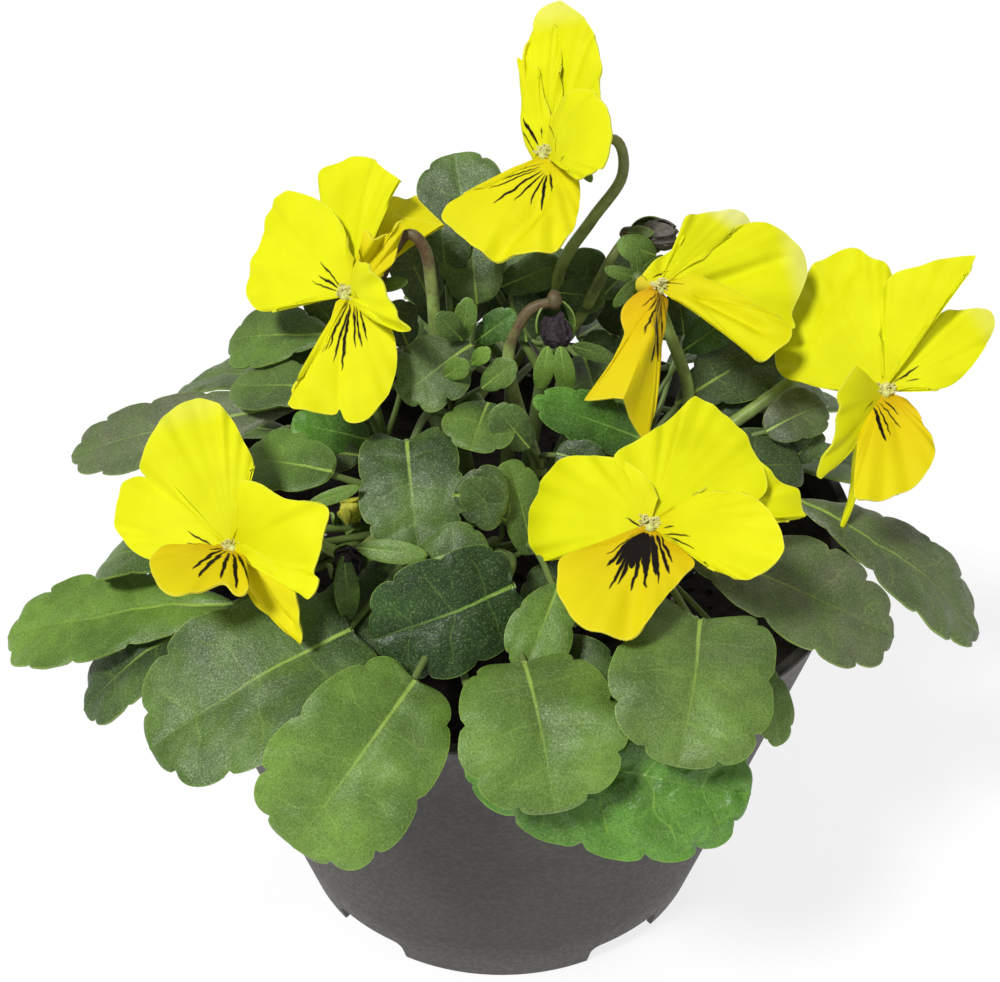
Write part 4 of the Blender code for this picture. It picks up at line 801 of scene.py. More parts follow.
# Leaf, upper side: cool mid to deep green with a waxy, finely speckled gloss, a thin yellow-green midrib,
# faint side veins and a fine pale hem. The net of small veins has meshes of about 3 mm.
leaf_upper = leaf_material("waxy_leaf_upper_side", "#263f16", "#6e9134", "#686c54", "#9dbb4e", 0.05, 0.05,
                           0.55, 0.36)
# Young leaf, upper side: glossier, and of a deeper green.
leaf_glossy = leaf_material("glossy_young_leaf", "#203a14", "#5d942c", "#4c523a", "#93bb50", 0.05, 0.12,
                            0.5, 0.34)
# Lush leaf, upper side: quilted between its veins and shiny as if wet.
leaf_quilted = leaf_material("quilted_lush_leaf", "#24420f", "#5d9130", "#4c523a", "#8fb84a", 0.2, 0.25,
                             0.42, 0.22)
# Leaf, underside: matt and paler grey-green, with the veins a little lighter.
leaf_lower = leaf_material("matt_leaf_underside", "#4b5d35", "#7a8c50", "#67644f", "#a3b56a", 0.12, 0.05,
                           0.8, 0.6)

# Stem and stalk skin: smooth juicy green that turns brown-purple towards a flower's crook.
stem_skin, where = blank("juicy_stem_skin")
_, way, _, _ = read(stem_skin, "blade")
_, pale, brown, _ = read(stem_skin, "tone")
streak = add_node(stem_skin, "TexNoise", {"Vector": where, "Scale": 1 / (2.5 * MM), "Detail": 3.0,
                                          "Roughness": 0.6})
colour = add_node(stem_skin, "Mix", {0: pale, 6: "#42592a", 7: "#97ad5c"}, 2, **COLOURS)
share = add_node(stem_skin, "MapRange", {0: streak, 1: 0.35, 2: 0.7, 4: 0.5}, **SMOOTH)
colour = add_node(stem_skin, "Mix", {0: share, 6: colour, 7: "#5a6a34"}, 2, **COLOURS)
upper_end = add_node(stem_skin, "MapRange", {0: way, 1: 0.3, 2: 0.65}, **SMOOTH)
patchy = add_node(stem_skin, "MapRange", {0: streak, 1: 0.45, 2: 0.7, 3: -0.1, 4: 0.3}, **SMOOTH)
share = add_node(stem_skin, "Math", {0: upper_end, 1: patchy}, operation="ADD", use_clamp=True)
share = add_node(stem_skin, "Math", {0: brown, 1: share}, operation="MULTIPLY")
colour = add_node(stem_skin, "Mix", {0: share, 6: colour, 7: "#56412d"}, 2, **COLOURS)
rough = add_node(stem_skin, "MapRange", {0: streak, 1: 0.3, 2: 0.7, 3: 0.55, 4: 0.4}, **SMOOTH)
pores = add_node(stem_skin, "TexNoise", {"Vector": where, "Scale": 1 / (0.5 * MM)})
relief = add_node(stem_skin, "Bump", {"Height": pores, "Distance": 0.06 * MM, "Strength": 0.6})
dress(stem_skin, IOR=1.42, Base_Color=colour, Roughness=rough, Normal=relief)

leaf_count = 0
for shoot in SHOOTS:
    foot = Vector((*shoot.foot, HOLE_FLOOR))
    bend = Vector((*shoot.foot, COMPOST_HEIGHT + 6))
    crown = Vector(shoot.crown)
    parts = [tube_mesh([foot, foot.lerp(bend, 0.7), bend, crown], STEM_RADII, 2, (0.2, 0.1))]
    for leaf in shoot.leaves:
        leaf_count += 1
        root = Vector(leaf.root)
        along = (Vector(leaf.tip) - root).normalized()
        reach = (root - crown).length
        start = bend.lerp(crown, min(0.95, max(0.15, 1 - reach / 70)))
        middle = start.lerp(root, 0.55) - along * reach * 0.10 + UP * reach * 0.06
        thin = min(1.0, 0.35 + leaf.width / 20)
        radii = [radius * thin for radius in LEAF_STALK_RADII]
        if leaf.shape != "sepal":
            end = root + along * 1.2 - sheet_axes(leaf.root, leaf.tip, leaf.faces)[2] * 0.5
            parts.append(tube_mesh([start, middle, end], radii, 2, (0.35, 0.0), count=16))
        parts.append(leaf_mesh(leaf, leaf_count))
    for flower in FLOWERS:
        if flower.shoot != shoot.name:
            continue
        faces, lift = flower_axes(flower)
        cup = cup_centre(flower)
        parts.append(tube_mesh(flower.stalk + [cup], FLOWER_STALK_RADII, 2, (0.9, flower.brown), count=36,
                               ridge=0.06))
        withered = flower.kind == "withered"
        parts.append(knob_mesh(cup, (1.15, 1.5), faces, 2, 0.08, tone=(0.2, 0.9 if withered else 0.0)))
        for order, turn in enumerate(flower.sepals):
            out = Matrix.Rotation(math.radians(turn), 3, faces) @ lift
            if flower.kind == "bloom":
                ends = (cup, cup + out * 5.8 - faces * 0.5)
                bow = 0.4
            else:
                ends = (cup + out * 0.8, cup + out * 2.6 + faces * 5.0)
                bow = -0.8
            sepal = Leaf(*ends, 2.2, faces, "sepal", bow, 0.2 if withered else 0.5, 0.1)
            parts.append(leaf_mesh(sepal, order + leaf_count, SEPAL_THICK, 14, 8))
    show(shoot.name + "_leaves", gather(parts), shoot.name,
         [leaf_upper, leaf_lower, stem_skin, leaf_glossy, leaf_quilted])

# Blooms. Five velvety yellow petals on a short neck, fixed in front of the green cup. The lower petal runs
# back into a blunt spur, and the throat is bearded with two tufts of cream hairs.
# A petal is given by its reach from the throat, the way it faces, and the points of its rim beside and
# along its midrib. ruffle is how wavy its rim is, the gold share how golden it is, partly its own colour and
# partly painted shade, pale how pale its tip is, with painted light shining through it, twist how far it
# turns towards its tip in degrees, creases are folds (both ends, height and half width), and depth is how
# far it lies behind its neighbours.
Petal = namedtuple("Petal", "reach faces rim arch fold ruffle gold pale twist creases depth",
                   defaults=(1.0, 0.06, 0.6, 0.0, 0.0, 0.0, (), 0.0))
OVAL = ((-2, 1), (-4.5, 4), (-6, 7.5), (-5, 10.5), (-2, 12), (0, 12.3), (2, 12), (5, 10.5), (6, 7.5),
        (4.5, 4), (2, 1))
PETALS = {
    "bloom_top": [
        Petal((2, 15, 18.5), (-0.6, -0.8, 0.2), (
            (-3, 5.5), (-4.5, 15.5), (-5.5, 21), (-4.5, 23.5), (-2, 25), (0, 24), (4, 21), (6, 18),
            (8, 14.5), (8.5, 7.5), (6.5, 3)), pale=0.4, creases=((-4.5, 20.5, 0, 14.5, -0.6, 0.8),),
            depth=1.4),
        Petal((-1, 15, 14.5), (-0.5, -0.8, 0.3), (
            (-2, 5), (-3, 16.5), (-2, 21), (-0.5, 22), (2, 21), (3.5, 17.5), (3.5, 8)), depth=0.4),
        Petal((8, -9, 9), (-0.5, -0.6, 0.6), (
            (-5, 1.5), (-6.5, 6.5), (-5.5, 12), (-2, 14.5), (2.5, 15.5), (7, 15), (7.5, 13.5), (7.5, 9.5),
            (5, 6.5))),
        Petal((-3, 13, 11), (-0.5, -0.8, 0.2), (
            (-3, 0.5), (-3.5, 4.5), (-2.5, 10), (-2.4, 17), (-2.2, 17.6), (-1.8, 17.5), (1.4, 14),
            (1.8, 13.6), (1.9, 13), (2, 9), (2.5, 4.5), (1, 0.5)), ruffle=0.2),
        Petal((-6.5, -15.5, -9), (-0.2, -0.57, 0.82), (
            (3.5, 4.5), (6.5, 8.5), (10.5, 12), (11.5, 15.5), (9, 17), (4.5, 19), (1.5, 19.5), (-3, 18.5),
            (-6.5, 17.5), (-8.5, 14), (-8, 8.5), (-6.5, 4.5), (-3, 1)), gold=0.25,
            creases=((-2.5, 10.5, 1.3, 18.5, -1.6, 1.4), (-4.5, 9, -3.5, 17, 0.8, 1.5)), depth=0.4),
        Petal((-3, 14, 11), (-0.3, -0.5, -0.8), (
            (-2.2, 16.6), (-1.9, 18.6), (-0.5, 19.2), (0.8, 19), (1.5, 16.8)), gold=0.3, ruffle=0.1),
    ],
    "bloom_upper_left": [
        Petal((1, 17, 14.5), (-0.5, -0.8, 0.3), (
            (-3, 6.5), (-6, 13), (-6.5, 16), (-7.5, 20), (-6.5, 22), (-4, 23), (-0.5, 23), (2.5, 21.5),
            (4.5, 19.5), (8.4, 16.4), (8.5, 15.9), (7, 16), (6, 15), (4.5, 11), (3.5, 6.5)), depth=0.4),
        Petal((12, 11, 7.5), (0, -0.7, 0.7), (
            (-1, 4), (-6.5, 11.5), (-6.5, 15.5), (-4.8, 17.2), (-4.2, 18.8), (-3, 18.5), (1.8, 18.2),
            (2, 17.8), (-0.5, 16), (-2.5, 14.3), (-4.2, 13.5), (-4, 11), (-0.5, 4)), 1.0, 0.1, 0.2, 0.35),
        Petal((-15.5, 12.5, 2), (-0.3, -0.8, 0.5), (
            (-4, 6.5), (-8, 12), (-8.5, 16), (-6.5, 18.5), (-3.5, 19), (2.5, 19.5), (6.5, 20), (9, 18.5),
            (10, 16.5), (10.5, 11), (9, 6), (5, 1.5))),
        Petal((8.5, -12.5, 0.5), (-1, -0.45, 0.1), (
            (-6, 2), (-7, 5), (-7, 8), (-4.5, 11), (-1, 15.3), (0, 15.3), (0.6, 12), (-1, 8), (-0.8, 4.5))),
        Petal((-1, -16.5, -11.5), (-0.1, -0.68, 0.73), (
            (2, 1.5), (2.5, 5), (2.5, 9.5), (5, 12.5), (6.5, 15.5), (7.5, 17.7), (7.3, 18.3), (6, 19),
            (1, 19.4), (0, 18.6), (-1, 20.3), (-3, 20.5), (-5.5, 19), (-7.5, 15.5), (-8, 11), (-7, 6.5),
            (-4, 1)), gold=0.12, creases=((6, 14.8, 1.4, 18.8, -0.6, 0.6), (0.4, 12, 0, 19, -0.5, 0.8))),
        Petal((8, 3, 9), (0.1, -0.9, 0.3), (
            (-2, 4.5), (-4.5, 9), (-2.5, 9), (-1.2, 11), (-1, 13.3), (0, 12.5), (0.8, 10.5), (1.8, 7.5),
            (1.5, 5.5)), 1.5, 0.3, 1.2, 0.4, creases=((-1, 5, -1.5, 10, -1.2, 0.8),)),
    ],
    "bloom_lower_left": [
        Petal((-6.5, 17, 14), (0.1, -0.8, 0.6), (
            (-5.5, 11), (-9.5, 14), (-8.5, 17.5), (-6, 20.5), (-4, 22.5), (-1, 23.5), (1, 23.5), (3, 22),
            (4.5, 19), (5.5, 14.5), (6, 11.5), (5, 9), (3.5, 3.5)), pale=0.2, depth=0.5),
        Petal((14, -7, 6.5), (0, -0.85, 0.55), (
            (-4, 3), (-9, 4.5), (-9, 7), (-6.5, 11.5), (-5.5, 15.5), (-4, 17.5), (0.5, 16.5), (3.8, 14.8),
            (5, 16), (7, 15), (7.5, 13.5), (5.5, 11), (2, 7.5), (-0.5, 3.5)),
            creases=((3, 13, 6.5, 12.5, -0.7, 0.7),)),
        Petal((-17.5, 7, 1.5), (0.2, -0.8, 0.6), (
            (-1, 2.5), (-3, 4.5), (-4.5, 8), (-5, 11), (-4.5, 14), (-3, 17), (-0.5, 19), (3, 19.5),
            (5, 18.7), (6, 16.5), (6, 11), (3.5, 5.5), (1.5, 1.5)),
            creases=((5.8, 11.2, 1.1, 0.9, -1.0, 0.6),)),
        Petal((10, -11, -8), (-0.7, -0.5, 0.5), (
            (-4, 0.5), (-3.5, 4), (-4.5, 8), (-5.7, 11.3), (-5.5, 12), (-3.5, 14), (0, 17), (1, 13.5),
            (1.5, 9), (1, 4)), gold=0.35, creases=((-1.5, 3, -1, 14, -1.0, 0.8),)),
        Petal((-4, -13, 2.5), (0, -0.2, 1), (
            (-3, 2), (-7, 9.5), (-6, 11), (-3.5, 10.5), (-1, 13), (1, 14.5), (4, 14), (6.5, 11.5), (8, 8.5),
            (6.5, 5.5), (4, 3), (2, 1.5)), gold=0.55),
    ],
    "bloom_right": [
        Petal((12, 13, 7.5), (0, -0.8, 0.6), (
            (-3, 0.5), (-3, 3.5), (-2, 8), (-2.5, 11), (-4, 12.5), (-3, 15), (-1, 18), (0.5, 20), (2.5, 21),
            (5.5, 20), (8.5, 19.5), (12, 18), (10.5, 12), (7.5, 7), (3, 2)), pale=1.0, depth=1.0),
        Petal((23.5, 5, 2), (0, -0.8, 0.6), (
            (-3, 7.5), (-7, 14.5), (-7, 18.5), (-4.5, 21.8), (-1.5, 23.8), (1.5, 24), (4.5, 22), (7.5, 20),
            (10, 19.5), (8.5, 15), (3.5, 9), (1.5, 5)), pale=0.6,
            creases=((1.3, 6.6, -1.2, 20, -1.2, 1.1),), depth=0.3),
        Petal((17.5, -9, -5), (0, -0.6, 0.8), (
            (-2, 1.5), (-4.5, 5), (-4.5, 12.5), (-4, 17), (-4, 20.5), (-2, 21.5), (1, 20.5), (3.5, 19),
            (2.5, 14), (0.7, 9), (0.6, 6.5), (0.8, 3)), gold=0.2,
            creases=((-1.3, 6.7, -1.1, 17, -1.4, 1.0),)),
        Petal((-5.5, -19, -11.5), (0.2, -0.9, 0.3), (
            (1, 1), (3, 2.5), (4.5, 6), (3.5, 9), (3.5, 11), (4.5, 16.5), (6, 21.3), (5.6, 21.8), (1.5, 21),
            (-3.8, 24), (-4.5, 23.8), (-5, 22.5), (-4.5, 17.5), (-3.5, 11.5), (-3, 5), (-2.5, 1)), 1.0,
            -0.3, 0.3, 0.8, creases=((0.9, 2.6, 0.6, 10, 1.6, 1.4), (0.6, 10, 1.5, 20.5, 1.6, 1.6))),
    ],
    "bloom_front": [
        Petal((13, 15.5, 8.5), (-0.1, -0.8, 0.6), (
            (-6, 4), (-10, 5), (-8, 11.5), (-7, 15.5), (-6.5, 20), (-5.5, 21), (-2.5, 21.5), (2.5, 21),
            (5, 19.5), (8, 17.5), (10, 13.5), (6, 4)), depth=0.7),
        Petal((23, 7, -1.5), (0, -0.8, 0.7), (
            (-3, 6), (-6.5, 15), (-7.6, 17.8), (-6.5, 19), (-4.5, 20.8), (-3.2, 23), (-2, 24), (0.5, 24.5),
            (1.5, 24), (1.5, 19.5), (1.5, 13.5), (1, 6)), ruffle=1.6,
            creases=((-3.5, 15, -1.1, 17, -0.7, 0.8),), depth=1.4),
        Petal((-16.5, 10.5, -4), (-0.1, -0.8, 0.6), (
            (-2, 1), (-4, 5.5), (-6.5, 12), (-7.5, 16), (-6, 18), (-3, 20), (2, 19.5), (6, 17.5), (8, 14.5),
            (8.5, 10), (8.5, 5.5), (6.5, 1.5), (4, -0.5))),
        Petal((15.5, -12, 3.5), (0, -0.7, 0.7), (
            (-3, 3), (-5.5, 6), (-7, 11), (-7, 14.5), (-5, 18), (-2, 20.3), (0, 20), (2.5, 19), (4, 17),
            (4, 13), (2.5, 7.5), (1.5, 4)), gold=0.1),
        Petal((-6.5, -18.5, -4), (-0.1, -0.6, 0.8), (
            (1, 2.5), (4, 6), (9.3, 10.8), (9.2, 14), (8, 17), (4.5, 20), (1.5, 20.2), (-2.5, 19.3),
            (-4, 17.5), (-5.5, 12), (-7, 7.5), (-7.5, 5.3), (-4.5, 2.5), (-2.5, 1)), gold=0.6,
            creases=((-1.2, 13.6, -2.4, 19, -0.7, 1.2),)),
    ],
    "bloom_far_right": [
        Petal((-9.5, 19.5, 10), (-0.1, -0.8, 0.6), (
            (-3, 3), (-6.5, 4), (-10, 7.5), (-12, 10.5), (-10.5, 15), (-5.5, 20.5), (1, 25), (4, 25.7),
            (8, 24.5), (9.5, 22), (10.5, 20), (11, 17), (8.5, 11), (3, 4.5)),
            creases=((-7.3, 13, 7.3, 22, -1.1, 1.3),), depth=0.5),
        Petal((12.5, 7.5, 19), (-0.3, -0.8, 0.5), (
            (-3.5, 5), (-8, 11.5), (-8.5, 15.5), (-6, 18.5), (-4, 21), (-0.4, 23.9), (0.2, 23.6), (0.5, 20),
            (0, 13), (-0.2, 9), (-0.5, 3.5)), depth=0.2),
        Petal((16.5, 6.5, 9), (-0.2, -0.8, 0.6), (
            (-3, 4), (-5, 9.5), (-5, 12.5), (-4.5, 15.5), (-2, 20), (0, 20.5), (2, 18.5), (4, 14), (5, 9.5),
            (4, 6), (1.5, 3)), pale=0.3),
        Petal((-11, -14, -6.5), (0.6, -0.8, 0.3), (
            (8.5, 3.5), (8.5, 6.5), (8, 9.5), (5.5, 12), (1.5, 18.3), (0, 19), (-0.5, 17), (-1, 8.5),
            (0, 4.5))),
        Petal((-1, -17.5, -8), (0, -0.5, 0.8), (
            (3, 4.5), (4.5, 8.5), (5.4, 14), (5.5, 19), (3, 19.5), (0, 18.5), (-3.5, 16.5), (-6, 13),
            (-6.5, 9.5), (-5, 5.5), (-3.5, 1.5)), gold=0.6, creases=((-1.5, 6, -2.5, 17, -0.6, 1.5),)),
        Petal((-5.7, -9, -20.7), (0.5, -0.8, 0.3), (
            (3.2, 2.5), (1.4, 6), (0.4, 12), (-0.3, 17.5), (-0.2, 23.3), (0.3, 23.3), (1, 18), (2, 12),
            (3.6, 6.5)), 0.6, 0.0, 0.1),
    ],
    "bloom_back": [
        Petal((-7, -8, 5), (0, 0.6, 0.8), OVAL, depth=1.2),
        Petal((7, -8, 5), (0, 0.6, 0.8), OVAL, depth=0.6),
        Petal((-13, 1, 1), (0, 0.6, 0.8), OVAL),
        Petal((13, 1, 1), (0, 0.6, 0.8), OVAL),
        Petal((0, 11, -6), (0, 0.5, 0.8), OVAL, gold=0.5),
    ],
}
# Dark guide lines on the petals: the petal's number, where a line starts and ends beside and along the
# petal's midrib, and its width at the start.
LINES = {
    "bloom_top": [
        (3, 2.7, 6.1, 3.1, 4.7, 0.5), (4, -2.4, 7.0, -1.0, 1.7, 1.1), (4, -3.2, 5.3, -2.0, 0.8, 0.7),
        (4, 0.4, 4.3, -0.1, 2.1, 0.6), (3, -4.1, 1.6, -1.2, 3.0, 0.6), (3, -1.2, 3.8, 1.3, 3.2, 0.5),
        (5, -0.2, 2.1, 3.1, 4.5, 0.5), (5, 0.1, 3.0, 5.9, 7.5, 0.8), (5, 0.1, 3.5, 6.2, 9.1, 0.8),
        (5, -0.4, 3.8, 4.8, 11.5, 1.0), (5, -0.8, 4.1, 1.7, 10.3, 0.9), (5, -1.2, 4.4, -0.7, 10.2, 0.9),
        (5, -1.5, 4.4, -2.5, 10.3, 1.2), (5, -1.8, 3.9, -3.3, 7.6, 0.8),
    ],
    "bloom_upper_left": [
        (3, 2.3, 6.6, 0.5, 1.7, 0.8), (3, -0.8, 6.8, -0.5, 1.4, 0.7), (3, 0.5, 6.1, 0.0, 1.9, 0.9),
        (4, -1.5, 2.5, -0.8, 4.3, 0.6), (4, -0.9, 2.3, 0.0, 3.5, 0.5),
        (5, -0.1, 1.3, 1.5, 3.6, 0.6), (5, 0.1, 1.6, 2.2, 9.5, 0.9), (5, -0.3, 1.9, 0.1, 12.7, 1.1),
        (5, -0.2, 2.6, 1.3, 11.6, 0.9), (5, -0.8, 2.2, -1.8, 9.4, 0.9), (5, -1.0, 1.9, -2.7, 9.4, 0.85),
        (5, -1.5, 1.8, -3.3, 8.3, 0.8), (5, -1.7, 1.4, -3.7, 5.0, 0.6),
    ],
    "bloom_lower_left": [
        (3, 0.4, 6.9, -0.4, 2.4, 0.8), (3, -1.2, 6.5, -0.7, 3.1, 0.6), (2, 0.1, 4.7, 0.9, 5.6, 0.6),
        (5, 0.7, 1.3, 1.8, 3.3, 1.0), (5, 0.5, 1.9, 1.5, 9.3, 1.3), (5, -0.1, 2.2, -0.1, 10.6, 1.3),
        (5, -0.8, 2.5, -3.0, 9.9, 1.3), (5, -1.4, 2.5, -5.6, 10.1, 1.3), (5, -1.7, 2.0, -6.9, 8.8, 1.2),
    ],
    "bloom_right": [
        (1, -1.5, 1.0, -0.4, 3.5, 0.7), (3, -0.6, -0.6, -2.2, 3.7, 0.6),
        (4, 0.0, 1.3, 2.1, 5.0, 0.7), (4, -0.1, 1.6, 2.1, 7.7, 0.8), (4, -0.4, 1.8, 1.6, 10.5, 0.8),
        (4, -0.6, 1.9, -0.4, 5.2, 0.8), (4, -0.4, 5.2, -1.6, 13.0, 1.3), (4, -0.7, 5.5, -2.8, 12.1, 1.2),
        (4, -0.9, 1.8, -3.1, 8.8, 0.8), (4, -1.3, 1.2, -3.3, 5.1, 0.6), (4, -1.0, 1.5, -1.4, 6.9, 0.6),
    ],
    "bloom_front": [
        (3, 0.5, 3.5, -0.5, 0.9, 0.8), (3, 1.1, 1.0, 0.1, 0.2, 0.7),
        (4, 0.0, 2.5, -0.7, 4.2, 0.7), (4, 0.7, 2.8, 0.2, 7.1, 0.7), (4, 0.9, 3.3, 1.9, 8.4, 0.8),
        (4, 2.0, 4.9, 3.2, 7.8, 1.3),
        (5, 0.7, 2.0, 2.3, 9.3, 2.0), (5, 0.6, 2.2, 2.1, 13.7, 1.2), (5, 0.3, 2.0, 0.3, 9.4, 2.3),
        (5, 0.5, 2.2, 1.2, 12.6, 1.3), (5, 0.0, 2.2, -0.7, 12.8, 1.3), (5, -0.1, 2.0, -1.7, 9.5, 2.3),
        (5, -0.5, 2.2, -2.4, 12.2, 1.3), (5, -0.7, 2.0, -3.2, 9.4, 1.8), (5, -1.0, 2.0, -4.0, 10.7, 1.2),
        (5, -1.3, 1.8, -4.9, 8.6, 1.2), (5, -1.8, 1.4, -4.8, 6.6, 1.0), (5, 1.2, 2.4, 3.4, 10.2, 1.3),
        (5, 1.4, 3.0, 4.0, 8.2, 0.7),
    ],
    "bloom_far_right": [
        (3, -0.3, 1.8, -0.1, 6.6, 0.8), (3, 0.7, 3.5, 1.6, 5.6, 0.6), (4, 1.3, 3.2, 1.9, 6.5, 0.6),
        (5, 1.0, 2.5, -2.0, 7.0, 0.7), (5, 1.8, 3.6, 0.6, 9.8, 1.3), (5, 0.3, 1.9, -1.9, 4.7, 0.8),
        (5, 1.3, 3.0, -0.4, 8.7, 0.8),
    ],
    "bloom_back": [
        (3, 0.4, 2.4, 0.8, 6.0, 0.7), (4, -0.4, 2.4, -0.8, 6.0, 0.7), (5, -0.4, 2.6, -3.0, 8.0, 0.8),
        (5, -0.2, 2.6, -1.5, 9.0, 0.9), (5, 0.0, 2.6, 0.0, 9.6, 1.0), (5, 0.2, 2.6, 1.5, 9.0, 0.9),
        (5, 0.4, 2.6, 3.0, 8.0, 0.8),
    ],
}
RIM_STEPS = 64
MIDRIB_STEPS = 18
PETAL_THICK = 0.35
HAIR_COUNT = 30
# Each petal's stored side places are moved on by this much, so that its lines stay its own.
PETAL_APART = 100


def to_line(point, start, end):
    """How far a point on a flat sheet lies from a straight line between two others."""
    way = end - start
    share = min(1.0, max(0.0, (point - start).dot(way) / way.length_squared))
    return (point - start - way * share).length


def petal_mesh(petal, throat, number, seed):
    """A petal: a soft thin sheet that fans out from the throat to its wavy rim."""
    run, side, upper = sheet_axes(throat, throat + Vector(petal.reach), petal.faces)
    length = run.length
    run.normalize()
    rim = smooth_path([(*point, 0) for point in petal.rim], RIM_STEPS)
    drift = Vector((seed * 4.7, seed * 8.3, seed))

    def spot(across, place):
        edge = rim[round((across + 1) / 2 * RIM_STEPS)]
        shift, along = edge.x * place, edge.y * place
        share = along / length
        flat = Vector((shift, along, 0))
        lift = petal.arch * 4 * share * (1 - share) + petal.fold * (math.sqrt(shift * shift + 1.0) - 1.0)
        lift += petal.ruffle * 2.0 * place ** 3 * noise.noise(edge * 0.35 + drift)
        lift += 0.6 * noise.noise(flat * 0.12 + drift) * place - petal.depth * min(1.0, place * 3)
        ridges = noise.noise(Vector((across * 9, place * 0.6, seed)))
        lift += 0.05 * ridges * math.sin(math.pi * place) - 0.35 * place ** 8
        for fold in petal.creases:
            gap = to_line(flat, Vector((*fold[0:2], 0)), Vector((*fold[2:4], 0)))
            lift += fold[4] * math.exp(-(gap / fold[5]) ** 2)
        twist = math.radians(petal.twist) * share ** 2
        aside = side * math.cos(twist) + upper * math.sin(twist)
        point = throat + run * along + aside * shift + aside.cross(run) * (lift + PETAL_THICK / 2)
        return point, (shift + PETAL_APART * number, along, (1 - place) * edge.length)

    tone = (petal.gold, petal.pale, length)
    return sheet_mesh(MIDRIB_STEPS, RIM_STEPS, spot, upper, PETAL_THICK, 0, 1, tone)


def guide_line(material, where, line):
    """How far each point lies inside one dark line, which swells in its middle and thins to both ends."""
    number, start_side, start_along, end_side, end_along, width = line
    start = Vector((start_side + PETAL_APART * number, start_along, 0))
    way = Vector((end_side - start_side, end_along - start_along, 0))
    offset = add_node(material, "VectorMath", {0: where, 1: start}, operation="SUBTRACT")
    held = add_node(material, "VectorMath", {0: offset, 1: way / way.length_squared}, "Value",
                    operation="DOT_PRODUCT")
    held = add_node(material, "Math", {0: held, 1: 0.0}, operation="ADD", use_clamp=True)
    nearest = add_node(material, "VectorMath", {0: way, "Scale": held}, operation="SCALE")
    gap = add_node(material, "VectorMath", {0: offset, 1: nearest}, "Value", operation="DISTANCE")
    left = add_node(material, "Math", {0: 1.0, 1: held}, operation="SUBTRACT")
    belly = add_node(material, "Math", {0: held, 1: left}, operation="MULTIPLY")
    belly = add_node(material, "Math", {0: belly}, operation="SQRT")
    reach = add_node(material, "Math", {0: belly, 1: 0.46 * width, 2: 0.07 * width}, operation="MULTIPLY_ADD")
    inside = add_node(material, "Math", {0: reach, 1: gap}, operation="SUBTRACT")
    return add_node(material, "Math", {0: inside, 1: 6.0}, operation="MULTIPLY", use_clamp=True)


def petal_material(name, lines):
    """A petal's skin: tiny cone-shaped cells give a velvety, saturated yellow with hardly any gloss. It is
    golden near the throat, and dark guide lines run in towards the nectar."""
    made, where = blank(name)
    stored, _, along, hem = read(made, "blade")
    _, gold, pale, length = read(made, "tone")
    cloudy = add_node(made, "TexNoise", {"Vector": where, "Scale": 1 / (7 * MM)})
    share = add_node(made, "MapRange", {0: cloudy, 1: 0.3, 2: 0.7}, **SMOOTH)
    colour = add_node(made, "Mix", {0: share, 6: "#d6d704", 7: "#dddf09"}, 2, **COLOURS)
    # Each petal's golden share is partly its own colour and partly painted shade.
    inner = add_node(made, "MapRange", {0: along, 1: 2.0, 2: 18.0, 3: 1.0, 4: 0.6}, **SMOOTH)
    share = add_node(made, "Math", {0: gold, 1: inner}, operation="MULTIPLY")
    colour = add_node(made, "Mix", {0: share, 6: colour, 7: "#d6a803"}, 2, **COLOURS)
    near = add_node(made, "MapRange", {0: along, 1: 0.8, 2: 6.0, 3: 1.0, 4: 0.0}, **SMOOTH)
    depth = add_node(made, "Math", {0: gold, 1: 0.6, 2: 0.1}, operation="MULTIPLY_ADD", use_clamp=True)
    share = add_node(made, "Math", {0: near, 1: depth}, operation="MULTIPLY")
    colour = add_node(made, "Mix", {0: share, 6: colour, 7: "#c08a0a"}, 2, **COLOURS)
    # Painted light shining through the thin tip: the petal is paler there.
    tip = add_node(made, "Math", {0: along, 1: length}, operation="DIVIDE")
    tip = add_node(made, "MapRange", {0: tip, 1: 0.8, 2: 1.0, 4: 0.75}, **SMOOTH)
    share = add_node(made, "Math", {0: pale, 1: tip}, operation="MULTIPLY")
    colour = add_node(made, "Mix", {0: share, 6: colour, 7: "#e4e59a"}, 2, **COLOURS)
    # Painted light shining through the thin rim: a pale band along it.
    share = add_node(made, "MapRange", {0: hem, 2: 0.4, 3: 0.2, 4: 0.0}, **SMOOTH)
    colour = add_node(made, "Mix", {0: share, 6: colour, 7: "#e8e96a"}, 2, **COLOURS)
    if lines:
        waver = add_node(made, "TexNoise", {"Vector": stored, "Scale": 0.45, "Detail": 1.0}, "Color")
        nudge = add_node(made, "VectorMath", {0: waver, 1: (0.7, 0.7, 0.0), 2: (-0.35, -0.35, 0.0)},
                         operation="MULTIPLY_ADD")
        nudged = add_node(made, "VectorMath", {0: stored, 1: (1.0, 1.0, 0.0), 2: nudge},
                          operation="MULTIPLY_ADD")
        dark = guide_line(made, nudged, lines[0])
        for line in lines[1:]:
            drawn = guide_line(made, nudged, line)
            dark = add_node(made, "Math", {0: dark, 1: drawn}, operation="MAXIMUM")
        colour = add_node(made, "Mix", {0: dark, 6: colour, 7: "#0d0403"}, 2, **COLOURS)
    cells = add_node(made, "TexNoise", {"Vector": where, "Scale": 1 / (0.35 * MM), "Detail": 1.0})
    relief = add_node(made, "Bump", {"Height": cells, "Distance": 0.03 * MM, "Strength": 0.5})
    dress(made, Roughness=0.68, IOR=1.34, Specular_IOR_Level=0.3, Base_Color=colour, Normal=relief)
    return made


# The back of a petal has no guide lines.
petal_back = petal_material("petal_back_velvet", [])
